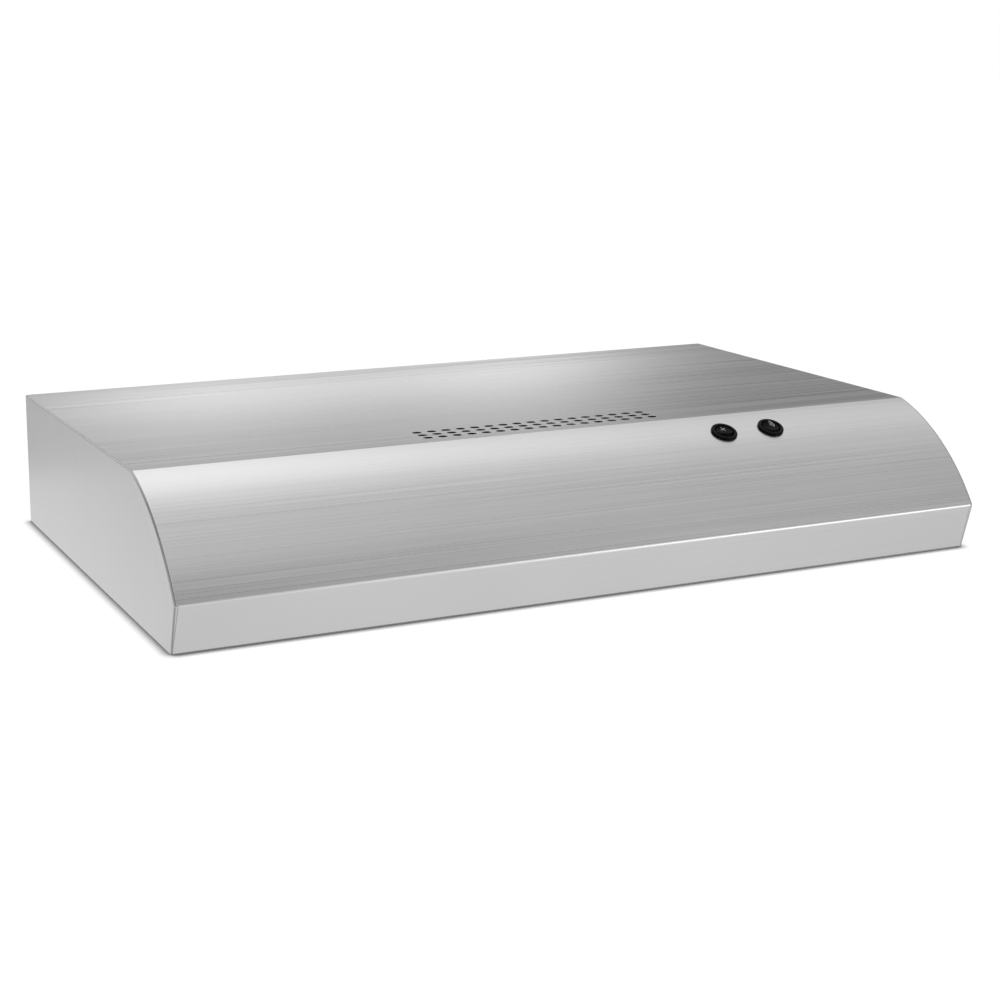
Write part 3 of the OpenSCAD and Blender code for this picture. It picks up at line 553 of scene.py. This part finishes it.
def add_hole(vertices, faces, ring, offsets, edge, place):
    """Rings of faces from the loop of a cell inwards to the edge of the hole in it."""
    for weight in HOLE_RINGS:
        inner = []
        for offset in offsets:
            inner.append(len(vertices))
            vertices.append(place(offset.lerp(edge(offset), weight)))
        for k in range(len(ring)):
            n = (k + 1) % len(ring)
            faces.append((ring[k], ring[n], inner[n], inner[k]))
        ring = inner


def make_wrapper():
    """One bent sheet: a grid of faces with cells left open for the vents and the switches."""
    stations = wrapper_stations()
    columns, switch_columns = wrapper_columns()
    last = len(columns) - 1
    ends = {0: -1, last: 1}
    vertices, faces, index = [], [], {}

    def vertex(i, j):
        if (i, j) not in index:
            x = wrapper_end(ends[i], stations[j]) if i in ends else columns[i]
            point = stations[j][0]
            index[i, j] = len(vertices)
            vertices.append((x, -point.x, point.y))
        return index[i, j]

    cells = []
    for a in range(VENT_COLUMNS):
        for b in range(VENT_ROWS):
            cells.append((LEFT_STEPS + a * VENT_STEPS, TOP_STEPS + b * VENT_STEPS, VENT_STEPS, True))
    for column in switch_columns:
        cells.append((column, SWITCH_ROW, HOLE_STEPS, False))
    inside = set()
    for i0, j0, steps, _ in cells:
        inside |= {(i, j) for i in range(i0, i0 + steps) for j in range(j0, j0 + steps)}
    for i in range(last):
        for j in range(len(stations) - 1):
            if (i, j) not in inside:
                faces.append((vertex(i, j), vertex(i, j + 1), vertex(i + 1, j + 1), vertex(i + 1, j)))

    for i0, j0, steps, is_vent in cells:
        loop = cell_loop(i0, j0, steps)
        ring = [vertex(i, j) for i, j in loop]
        size = VENT_PITCH if is_vent else (2 * SWITCH_CELL, 2 * SWITCH_CELL)
        offsets = [
            Vector((((i - i0) / steps - 0.5) * size[0], ((j - j0) / steps - 0.5) * size[1]))
            for i, j in loop
        ]
        middle_x = (columns[i0] + columns[i0 + steps]) / 2
        if is_vent:
            depth = (stations[j0][0].x + stations[j0 + steps][0].x) / 2
            place = partial(on_top, middle_x, depth)
            add_hole(vertices, faces, ring, offsets, vent_edge, place)
        else:
            place = partial(on_visor, middle_x)
            add_hole(vertices, faces, ring, offsets, switch_edge, place)

    piece = new_piece("canopy_sheet", vertices, faces, "brushed_stainless")
    # The rim faces made by the solidify step take the near-black edge colour, painted shade in the
    # vent holes.
    piece.data.materials.append(SHADED_CUT_EDGE)
    thick = piece.modifiers.new("sheet", "SOLIDIFY")
    thick.material_offset_rim = 1
    thick.thickness = SHEET
    thick.offset = -1
    thick.use_even_offset = True
    thick.use_quality_normals = True
    soften(piece, WRAPPER_BEVEL, angle=50)
    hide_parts("canopy_wrapper")


# ------------------------------------------------------------------ side plates

RIM_STEPS = 4
LAP_GAP = 0.05 * MM
LAP_SETBACK = 3 * MM
LAP_END = 10 * MM
HEM_GAP = 0.5 * MM
STRIP_GAP = 0.07 * MM
STRIP_END = 1 * MM
SIDE_BEVEL = 0.12 * MM


def plate_ring(side, x, inset, stations):
    """A closed ring of points around the side plate's outline."""
    points = [Vector((inset, TOP - inset))]
    points += [point - inset * normal for point, normal in stations]
    points.append(Vector((inset, RIM + inset)))
    return [(side * x, -p.x, p.y) for p in points]


def add_prism(vertices, faces, rows, flip):
    """Closes rows of equally many points into a tube with capped ends."""
    base = len(vertices)
    count = len(rows[0])
    for row in rows:
        vertices.extend(row)
    for r in range(len(rows) - 1):
        for k in range(count):
            n = (k + 1) % count
            a = base + r * count
            quad = (a + k, a + n, a + count + n, a + count + k)
            faces.append(quad[::-1] if flip else quad)
    first = tuple(range(base + count - 1, base - 1, -1))
    last = tuple(range(base + (len(rows) - 1) * count, base + len(rows) * count))
    faces.append(first[::-1] if flip else first)
    faces.append(last[::-1] if flip else last)


def add_block(vertices, faces, low, high):
    base = len(vertices)
    for z in (low[2], high[2]):
        for x, y in ((low[0], low[1]), (high[0], low[1]), (high[0], high[1]), (low[0], high[1])):
            vertices.append((x, y, z))
    quads = ((0, 3, 2, 1), (4, 5, 6, 7), (0, 1, 5, 4), (1, 2, 6, 5), (2, 3, 7, 6), (3, 0, 4, 7))
    faces.extend(tuple(base + k for k in quad) for quad in quads)


def flange(side, stations, inner, outer, drop):
    """Rows of a strip one sheet thick that follows the outline, drop below it, from inner to outer."""
    rows = []
    for point, normal in stations:
        high = point - drop * normal
        low = high - SHEET * normal
        near = inner(point, normal)
        corners = ((near, high), (outer, high), (outer, low), (near, low))
        rows.append([(side * x, -p.x, p.y) for x, p in corners])
    return rows


def make_side(side, name, node):
    """A side plate with a rounded rim, a lap flange under the wrapper, a hem and a lip strip."""
    stations = outline((4, 6, 20))
    vertices, faces = [], []
    rings = []
    for degrees in spread(0, 90, RIM_STEPS):
        turn = math.radians(degrees)
        x = HALF_W - PLATE * (1 - math.cos(turn))
        rings.append(plate_ring(side, x, PLATE * (1 - math.sin(turn)), stations))
    for x in (HALF_W - PLATE, HALF_W - SHEET):
        rings.append(plate_ring(side, x, SHEET + LAP_GAP, stations))
    add_prism(vertices, faces, rings, side > 0)

    inner = HALF_W - SHEET - HEM
    lap_start = (Vector((HEM + LAP_SETBACK, TOP)), Vector((0, 1)))
    lap = [s for s in stations if s[0].x > HEM and s[0].y > RIM + LAP_END]
    rows = flange(side, [lap_start] + lap, lambda *_: inner, HALF_W - SHEET, SHEET + LAP_GAP)
    add_prism(vertices, faces, rows, side > 0)

    hem_x = sorted((side * inner, side * (HALF_W - SHEET)))
    hem_y = (-(HEM_EDGE - HEM_GAP), -(HEM + LAP_SETBACK))
    add_block(vertices, faces, (hem_x[0], hem_y[0], RIM), (hem_x[1], hem_y[1], RIM + SHEET))

    def strip_edge(point, normal):
        return abs(wrapper_end(side, (point, normal))) + STRIP_GAP

    lip = [s for s in stations if s[1].y < 0 and s[0].y > RIM + STRIP_END and s[0].x > FRONT - HEM]
    rows = flange(side, lip, strip_edge, HALF_W - PLATE - STRIP_GAP, 0.0)
    add_prism(vertices, faces, rows, side > 0)

    piece = new_piece(name, vertices, faces, "side_stainless")
    soften(piece, SIDE_BEVEL, angle=50)
    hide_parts(node)


make_wrapper()
make_side(-1, "left_side_sheet", "left_side_panel")
make_side(1, "right_side_sheet", "right_side_panel")

# ------------------------------------------------------------------ filter meshes

MESH_CELL = (11 * MM, 5.5 * MM)
STRAND_WIDTH = 0.9 * MM
STRAND_THICKNESS = 0.42 * MM
STRAND_TILT = 0.05 * MM
LAYER_OFFSET = 0.25 * MM


def add_mesh_layer(vertices, faces, low, high, level, turned):
    """Expanded metal: zigzag strands side by side, joined at their knots."""
    length, width = (1, 0) if turned else (0, 1)
    steps = math.ceil((high[length] - low[length]) / (MESH_CELL[0] / 2))
    rows = math.ceil((high[width] - low[width]) / (MESH_CELL[1] / 2))
    pitch = (high[width] - low[width]) / rows
    swing = pitch / 2 - STRAND_WIDTH * 0.3
    half = STRAND_WIDTH / 2
    thick = STRAND_THICKNESS / 2
    for row in range(rows):
        middle = low[width] + (row + 0.5) * pitch
        strand = []
        for k, along in enumerate(spread(low[length], high[length], steps)):
            rise = 1 if (k + row) % 2 else -1
            ring = []
            for across, up in ((-half, -thick), (half, -thick), (half, thick), (-half, thick)):
                point = [0.0, 0.0, level + up + rise * math.copysign(STRAND_TILT, across)]
                point[length] = along
                point[width] = middle + rise * swing + across
                ring.append(tuple(point))
            strand.append(ring)
        add_prism(vertices, faces, strand, not turned)


def make_filter_mesh(name, node, body):
    low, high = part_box(node)
    middle = (low.z + high.z) / 2
    vertices, faces = [], []
    add_mesh_layer(vertices, faces, low, high, middle - LAYER_OFFSET, False)
    add_mesh_layer(vertices, faces, low, high, middle + LAYER_OFFSET, True)
    piece = new_piece(name, vertices, faces, "mesh_aluminium", body)
    piece.data.shade_flat()
    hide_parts(node)


make_filter_mesh("left_expanded_mesh", "left_filter_mesh", "left_filter")
make_filter_mesh("right_expanded_mesh", "right_filter_mesh", "right_filter")

# ------------------------------------------------------------------ screws

HEAD_HEIGHT = 0.45
THREAD_PITCH = 0.8 * MM
THREAD_CORE = 0.84
TIP_LENGTH = 0.6 * MM
TIP_SHARE = 0.4
TAPER_SHARE = 0.86
SEAT_SHARE = 0.97
DOME_ANGLES = (8, 25, 42, 55)
DOME_RISE = 0.82
RECESS_REACH = 0.46
RECESS_TAPER = 0.86
RECESS_FLOOR = 0.35
RECESS_ANGLE = 15
TWIST_STEP = 37.0
SCREW_SHANK = 1.9 * MM
MOTOR_SHANK = 2.0 * MM
SCREW_BEVEL = 0.08 * MM


def cross_radius(degrees):
    """Distance from the middle of a cross recess to its edge, for an arm one unit long."""
    turn = math.radians(min(degrees % 90, 90 - degrees % 90))
    arm = math.radians(RECESS_ANGLE)
    return 1 / math.cos(turn) if turn <= arm + 0.001 else math.tan(arm) / math.sin(turn)


def screw_rings(shank, head, length):
    """(radius, height, share of the recess shape) of each ring from the tip to the recess floor."""
    rings = [(shank * TIP_SHARE, length, 0), (shank * TAPER_SHARE, length - TIP_LENGTH, 0)]
    turns = int((length - 2 * TIP_LENGTH) / THREAD_PITCH)
    for k in range(turns, 0, -1):
        rings.append((shank, (k + 0.5) * THREAD_PITCH, 0))
        rings.append((shank * THREAD_CORE, k * THREAD_PITCH, 0))
    rings += [(shank * THREAD_CORE, 0, 0), (head * SEAT_SHARE, 0, 0)]
    for degrees in DOME_ANGLES:
        turn = math.radians(degrees)
        rise = head * HEAD_HEIGHT * math.sin(turn) / DOME_RISE
        rings.append((head * math.cos(turn), -rise, 0))
    rings.append((head * RECESS_REACH, -head * HEAD_HEIGHT, 1))
    rings.append((head * RECESS_REACH * RECESS_TAPER, -head * HEAD_HEIGHT * RECESS_FLOOR, 1))
    return rings


def solids_of(node):
    """Lowest and highest corners of each loose solid of a CAD node, in a fixed order."""
    graph = bmesh.new()
    graph.from_mesh(nodes[node].data)
    bmesh.ops.remove_doubles(graph, verts=graph.verts, dist=0.001 * MM)
    boxes, seen = [], set()
    for start in graph.verts:
        if start in seen:
            continue
        solid, queue = [], [start]
        seen.add(start)
        while queue:
            vert = queue.pop()
            solid.append(vert.co)
            for edge in vert.link_edges:
                other = edge.other_vert(vert)
                if other not in seen:
                    seen.add(other)
                    queue.append(other)
        low = Vector(min(point[k] for point in solid) for k in range(3))
        high = Vector(max(point[k] for point in solid) for k in range(3))
        boxes.append((low, high))
    graph.free()
    return sorted(boxes, key=lambda box: tuple(box[0]))


def make_screws(name, node, shank, slot, head_up=False):
    """Cross head screws in place of a node's plain ones, each turned to its own angle."""
    vertices, faces = [], []
    for number, (low, high) in enumerate(solids_of(node)):
        head = (high.x - low.x) / 2
        drop = head * HEAD_HEIGHT
        seat = high.z - drop if head_up else low.z + drop
        length = seat - low.z if head_up else high.z - seat
        centre = (low + high) / 2
        twist = TWIST_STEP * number
        rows = []
        for radius, height, recess in screw_rings(shank, head, length):
            row = []
            for degrees in range(0, 360, RECESS_ANGLE):
                turn = math.radians(degrees + twist)
                reach = radius * (cross_radius(degrees) if recess else 1)
                rise = -height if head_up else height
                place = (reach * math.cos(turn), reach * math.sin(turn), rise)
                row.append((centre.x + place[0], centre.y + place[1], seat + place[2]))
            rows.append(row)
        add_prism(vertices, faces, rows, not head_up)
    piece = new_piece(name, vertices, faces, slot)
    soften(piece, SCREW_BEVEL, angle=35)
    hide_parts(node)


make_screws("pan_cross_screws", "pan_screws", SCREW_SHANK, "zinc_screws")
make_screws("blower_cross_screws", "blower_screws", SCREW_SHANK, "zinc_screws", head_up=True)
make_screws("motor_cross_screws", "motor_screws", MOTOR_SHANK, "zinc_screws", head_up=True)
make_screws("wiring_cross_screw", "wiring_screw", SCREW_SHANK, "zinc_screws")

# ------------------------------------------------------------------ leads

MOTOR_ROUTE = (
    (-49.9, -235, 52), (-40, -235, 52.5), (-22, -224, 54), (2, -212, 57), (35, -204, 58),
    (80, -190, 58), (112, -176, 58), (150, -164, 58), (200, -130, 58), (260, -104, 57),
    (287, -96, 54), (297, -84, 50), (297, -68, 50),
)
SWITCH_ROUTE = (
    (303, -66, 50), (303, -84, 50), (304, -110, 54), (304, -140, 57), (304, -230, 57),
    (304, -300, 57), (290, -340, 52), (265, -370, 42), (235, -386, 28), (212, -384, 20),
)
LAMP_ROUTE = (
    (98.6, -400, -20), (108, -399, -19), (130, -392, -8), (145, -388, 2), (155, -385, 10),
    (160, -384, 16),
)
LEAD_STEPS = 12
LEAD_SIDES = 8
LEAD_R = 2.2 * MM
LAMP_LEAD_R = 1.6 * MM
LAY_LENGTH = 26 * MM


def smooth_route(route):
    """A smooth curve through the listed points, the same one as the CAD lead's."""
    points = [Vector(point) * MM for point in route]
    result = []
    for i in range(len(points) - 1):
        a, b = points[max(i - 1, 0)], points[i]
        c, d = points[i + 1], points[min(i + 2, len(points) - 1)]
        for t in spread(0.0, 1.0, LEAD_STEPS)[:-1]:
            bend = (2 * a - 5 * b + 4 * c - d) * t**2 + (3 * b - a - 3 * c + d) * t**3
            result.append(0.5 * (2 * b + (c - a) * t + bend))
    return result + [points[-1]]


def make_lead(name, node, route, radius, strands):
    """Round wires twisted together inside the radius of the CAD lead."""
    path = smooth_route(route)
    share = math.sin(math.pi / strands)
    wire = radius * share / (1 + share)
    frames, side, gone = [], Vector((0, 0, 1)), 0.0
    for i, point in enumerate(path):
        ahead = (path[min(i + 1, len(path) - 1)] - path[max(i - 1, 0)]).normalized()
        side = (side - side.dot(ahead) * ahead).normalized()
        gone += (point - path[max(i - 1, 0)]).length
        frames.append((point, side, ahead.cross(side), gone))
    vertices, faces = [], []
    for strand in range(strands):
        rows = []
        for point, u, v, length in frames:
            phase = math.tau * (length / LAY_LENGTH + strand / strands)
            core = point + (radius - wire) * (math.cos(phase) * u + math.sin(phase) * v)
            row = []
            for k in range(LEAD_SIDES):
                turn = math.tau * k / LEAD_SIDES
                row.append(tuple(core + wire * (math.cos(turn) * u + math.sin(turn) * v)))
            rows.append(row)
        add_prism(vertices, faces, rows, False)
    piece = new_piece(name, vertices, faces, "grey_cable")
    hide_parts(node)


make_lead("motor_twisted_lead", "motor_lead", MOTOR_ROUTE, LEAD_R, 3)
make_lead("switch_twisted_lead", "switch_lead", SWITCH_ROUTE, LEAD_R, 3)
make_lead("lamp_twisted_lead", "lamp_lead", LAMP_ROUTE, LAMP_LEAD_R, 2)

# ------------------------------------------------------------------ switch marks

PIVOT_DROP = -1.9 * MM
DISH_R = 22 * MM
DISH_RISE = 25.7 * MM
MARK_HEIGHT = 0.06 * MM
MARK_WIDTH = 0.5 * MM
MARK_CENTRE = Vector((0.2 * MM, 2.6 * MM))
MARK_PAINT = plastic("mark_paint", (0.8, 0.8, 0.8), 0.5)
STROKE_STEPS = 8
GUST_RADII = (0.5 * MM, 2.4 * MM, 4.3 * MM)
GUST_SPAN = (-50, 80)
SUN_RING = 0.7 * MM
RAY_REACH = (1.5 * MM, 2.9 * MM)
RAY_TURN = 25
LIGHT_TILT = -8


def on_rocker(x, tilt, u, v, lift):
    """A place on a rocker's dished face; u runs to the right and v up the visor."""
    rise = DISH_RISE - math.sqrt(DISH_R**2 - v**2) + lift
    turned = Matrix.Rotation(math.radians(tilt), 3, "X") @ Vector((u, v, rise))
    height = VISOR_R + PIVOT_DROP + turned.z
    normal = unit_at(SWITCH_ANGLE)
    depth = VISOR.x + normal.x * height - normal.y * turned.y
    return (x + turned.x, -depth, VISOR.y + normal.y * height + normal.x * turned.y)


def make_mark(name, body, x, tilt, strokes):
    """Raised lines on a rocker, each a list of (u, v) points."""
    vertices, faces = [], []
    for stroke in strokes:
        rows = []
        for i, point in enumerate(stroke):
            ahead = stroke[min(i + 1, len(stroke) - 1)] - stroke[max(i - 1, 0)]
            across = Vector((-ahead.y, ahead.x)).normalized() * MARK_WIDTH / 2
            row = []
            for sign, lift in ((1, -1), (-1, -1), (-1, 1), (1, 1)):
                place = point + sign * across
                row.append(on_rocker(x, tilt, place.x, place.y, lift * MARK_HEIGHT))
            rows.append(row)
        add_prism(vertices, faces, rows, True)
    new_piece(name, vertices, faces, "black_rocker", body, MARK_PAINT)


def arc_stroke(radius, start, end):
    return [MARK_CENTRE + radius * unit_at(turn) for turn in spread(start, end, STROKE_STEPS)]


gusts = [arc_stroke(radius, *GUST_SPAN) for radius in GUST_RADII]
sun = [arc_stroke(SUN_RING, 0, 330)]
for quarter in range(4):
    ray = unit_at(90 * quarter + RAY_TURN)
    sun.append([MARK_CENTRE + reach * ray for reach in RAY_REACH])
make_mark("fan_mark", "fan_switch_rocker", SWITCH_PLACES[1], 0, gusts)
make_mark("light_mark", "light_switch_rocker", SWITCH_PLACES[0], LIGHT_TILT, sun)

# ------------------------------------------------------------------ CAD nodes

EDGE_BEVEL = 0.15 * MM
WELD_REACH = 0.005 * MM
FLAT_ANGLE = 0.3


def finish_node(node, material):
    """Gives a CAD node its material and soft edges, by modifiers only."""
    mesh = node.data
    custom = mesh.attributes.get("custom_normal")
    if custom:
        mesh.attributes.remove(custom)
    mesh.materials.clear()
    mesh.materials.append(material)
    mesh.shade_smooth()
    weld = node.modifiers.new("weld", "WELD")
    weld.merge_threshold = WELD_REACH
    flat = node.modifiers.new("flat", "DECIMATE")
    flat.decimate_type = "DISSOLVE"
    flat.angle_limit = math.radians(FLAT_ANGLE)
    soften(node, EDGE_BEVEL)


# Darker than the slot in the record: a painted shade, which makes the vent holes above it look dark.
OWN_MATERIAL = {"vent_baffle": galvanised("painted_shade_baffle", 0.1)}
slot_of = {part["node"]: part["material_slot"] for part in frame["record"]["subparts"]}
for node_name, node in nodes.items():
    if not node.hide_render:
        material = OWN_MATERIAL.get(node_name, BY_SLOT[slot_of[node_name]])
        finish_node(node, material)

# ------------------------------------------------------------------ studio

AMBIENCE = 0.15
FLOOR_HALF = 12.0
PAPER_LEVEL = 1.02
# Reach and depth of the painted contact shadow on the floor.
SHADOW_REACH = 10 * MM
SHADOW_LEVEL = 0.12
SHADOW_RANGE = (0.45, 0.98)


def make_floor():
    """White paper at the rim's level, with a painted contact shadow close under the hood, unseen from
    below.
    """
    mesh = bpy.data.meshes.new("floor")
    corners = [(x * FLOOR_HALF, y * FLOOR_HALF, RIM) for x, y in ((-1, -1), (1, -1), (1, 1), (-1, 1))]
    mesh.from_pydata(corners, [], [(0, 1, 2, 3)])
    floor = bpy.data.objects.new("floor", mesh)
    bpy.context.scene.collection.objects.link(floor)
    material, s = new_material("floor_paper")
    # Painted contact shadow: the paper's glow drops where ambient occlusion finds the hood close by.
    near = s.add("AmbientOcclusion", {"Distance": SHADOW_REACH}, samples=8)
    level = s.remap(near.outputs["AO"], SHADOW_LEVEL, PAPER_LEVEL, *SHADOW_RANGE)
    paper = s.add("Emission", {"Strength": level})
    clear = s.add("BsdfTransparent")
    below = s.add("NewGeometry").outputs["Backfacing"]
    mix = s.add("MixShader", {0: below, 1: paper.outputs[0], 2: clear.outputs[0]})
    s.add("OutputMaterial", {"Surface": mix.outputs[0]})
    mesh.materials.append(material)
    floor.visible_diffuse = False
    floor.visible_glossy = False
    floor.visible_transmission = False
    floor.visible_shadow = False


# A strength is a scratch program's fit to the photograph's brightness, rounded, unless its row says
# that it was set by hand.
# The directions and widths that the fit chose from were listed.
LOBES = [
    # azimuth from +Y towards +X, elevation, width, strength
    (-60, -35, 25, 0.8),
    (-15, -35, 25, 1.1),
    (135, -35, 25, 0.5),
    (165, -35, 25, 1.2),
    (130, -10, 20, 1.1),
    (145, 0, 10, 3.5),  # set outside the fit
    (152, 18, 10, 1.5),  # set outside the fit
    (-15, 30, 18, 1.8),  # set outside the fit
    (75, 30, 18, 1.3),  # set outside the fit
    (140, 30, 18, 0.5),
    (15, 52, 20, 1.7),
    (45, 52, 20, 0.7),
    (115, 52, 20, 0.45),
    (130, 75, 20, 0.4),
    (180, 75, 20, 0.7),
    # these four are there for the views from behind and from the right, set outside the fit
    (-80, 12, 25, 0.7),
    (45, -28, 20, 1.6),
    (225, -12, 25, 1.3),
    (215, 35, 22, 0.9),
]


def make_world(lobes):
    """Soft light from all round: a faint ambience and a few broad glows."""
    world = bpy.data.worlds.new("studio")
    bpy.context.scene.world = world
    world.use_nodes = True
    s = Shader(world.node_tree)
    direction = s.add("TexCoord").outputs["Generated"]
    total = AMBIENCE
    for azimuth, elevation, width, strength in lobes:
        level = math.cos(math.radians(elevation))
        towards = (
            level * math.sin(math.radians(azimuth)),
            level * math.cos(math.radians(azimuth)),
            math.sin(math.radians(elevation)),
        )
        facing = s.add("VectorMath", {0: direction, 1: towards}, operation="DOT_PRODUCT")
        sharpness = 1 / (1 - math.cos(math.radians(width)))
        away = s.math("SUBTRACT", facing.outputs["Value"], 1.0)
        glow = s.math("EXPONENT", s.math("MULTIPLY", away, sharpness))
        total = s.math("ADD", s.math("MULTIPLY", glow, strength), total)
    light = s.add("Background", {"Strength": total})
    white = s.add("Background", {"Color": (1.0, 1.0, 1.0, 1.0), "Strength": 1.0})
    seen = s.add("LightPath").outputs["Is Camera Ray"]
    mix = s.add("MixShader", {0: seen, 1: light.outputs[0], 2: white.outputs[0]})
    s.add("OutputWorld", {"Surface": mix.outputs[0]})


BOXES = [
    # name, place, target, size, radiance (raised from the values of the same fit)
    ("left_box", (-0.8, 0.6, -0.2), (-0.8, 0.0, -0.2), (0.4, 0.5), 0.5),
    ("low_box", (-0.6, 0.6, -0.3), (-0.6, 0.0, -0.3), (0.2, 0.3), 0.9),
]


def soft_light(name, place, target, size, radiance):
    data = bpy.data.lights.new(name, "AREA")
    data.shape = "RECTANGLE"
    data.size, data.size_y = size
    data.energy = radiance * math.pi * size[0] * size[1]
    light = bpy.data.objects.new(name, data)
    towards = (Vector(target) - Vector(place)).normalized()
    light.rotation_euler = towards.to_track_quat("-Z", "Y").to_euler()
    light.location = place
    light.visible_camera = False
    bpy.context.scene.collection.objects.link(light)


SCREEN_PLACE = 60 * MM
SCREEN_HALF = 0.9
SCREEN_TOP = 0.5
SCREEN_LIFT = 4 * MM
SPOT_WIDTH = 0.17
SPOTS = [
    # x, z, height, strength (from the same fit, rounded)
    (-0.2, 0.115, 0.03, 1.0),
    (0.0, 0.115, 0.03, 0.6),
    (0.2, 0.115, 0.03, 1.0),
    (0.2, 0.18, 0.05, 0.17),
]


def make_screen():
    """A pale screen behind and above the hood, which its top reflects with soft edges."""
    mesh = bpy.data.meshes.new("screen")
    corners = []
    for x, z in ((-1, TOP), (1, TOP), (1, SCREEN_TOP), (-1, SCREEN_TOP)):
        corners.append((x * SCREEN_HALF, SCREEN_PLACE, z + SCREEN_LIFT))
    mesh.from_pydata(corners, [], [(0, 1, 2, 3)])
    screen = bpy.data.objects.new("screen", mesh)
    bpy.context.scene.collection.objects.link(screen)
    material, s = new_material("screen_glow")
    place = s.add("SeparateXYZ", {"Vector": s.place((1, 1, 1))})
    total = 0.0
    for x, z, height, strength in SPOTS:
        across = s.math("MULTIPLY", s.math("SUBTRACT", place.outputs["X"], x), 1 / SPOT_WIDTH)
        up = s.math("MULTIPLY", s.math("SUBTRACT", place.outputs["Z"], z), 1 / height)
        away = s.math("ADD", s.math("MULTIPLY", across, across), s.math("MULTIPLY", up, up))
        glow = s.math("EXPONENT", s.math("MULTIPLY", away, -1.0))
        total = s.math("ADD", s.math("MULTIPLY", glow, strength), total)
    light = s.add("Emission", {"Strength": total})
    clear = s.add("BsdfTransparent")
    both = s.add("AddShader", {0: light.outputs[0], 1: clear.outputs[0]})
    behind = s.add("NewGeometry").outputs["Backfacing"]
    mix = s.add("MixShader", {0: behind, 1: both.outputs[0], 2: clear.outputs[0]})
    s.add("OutputMaterial", {"Surface": mix.outputs[0]})
    mesh.materials.append(material)
    screen.visible_camera = False
    screen.visible_shadow = False


make_screen()
make_floor()
make_world(LOBES)
for box in BOXES:
    soft_light(*box)
bpy.context.scene.view_settings.view_transform = "Standard"
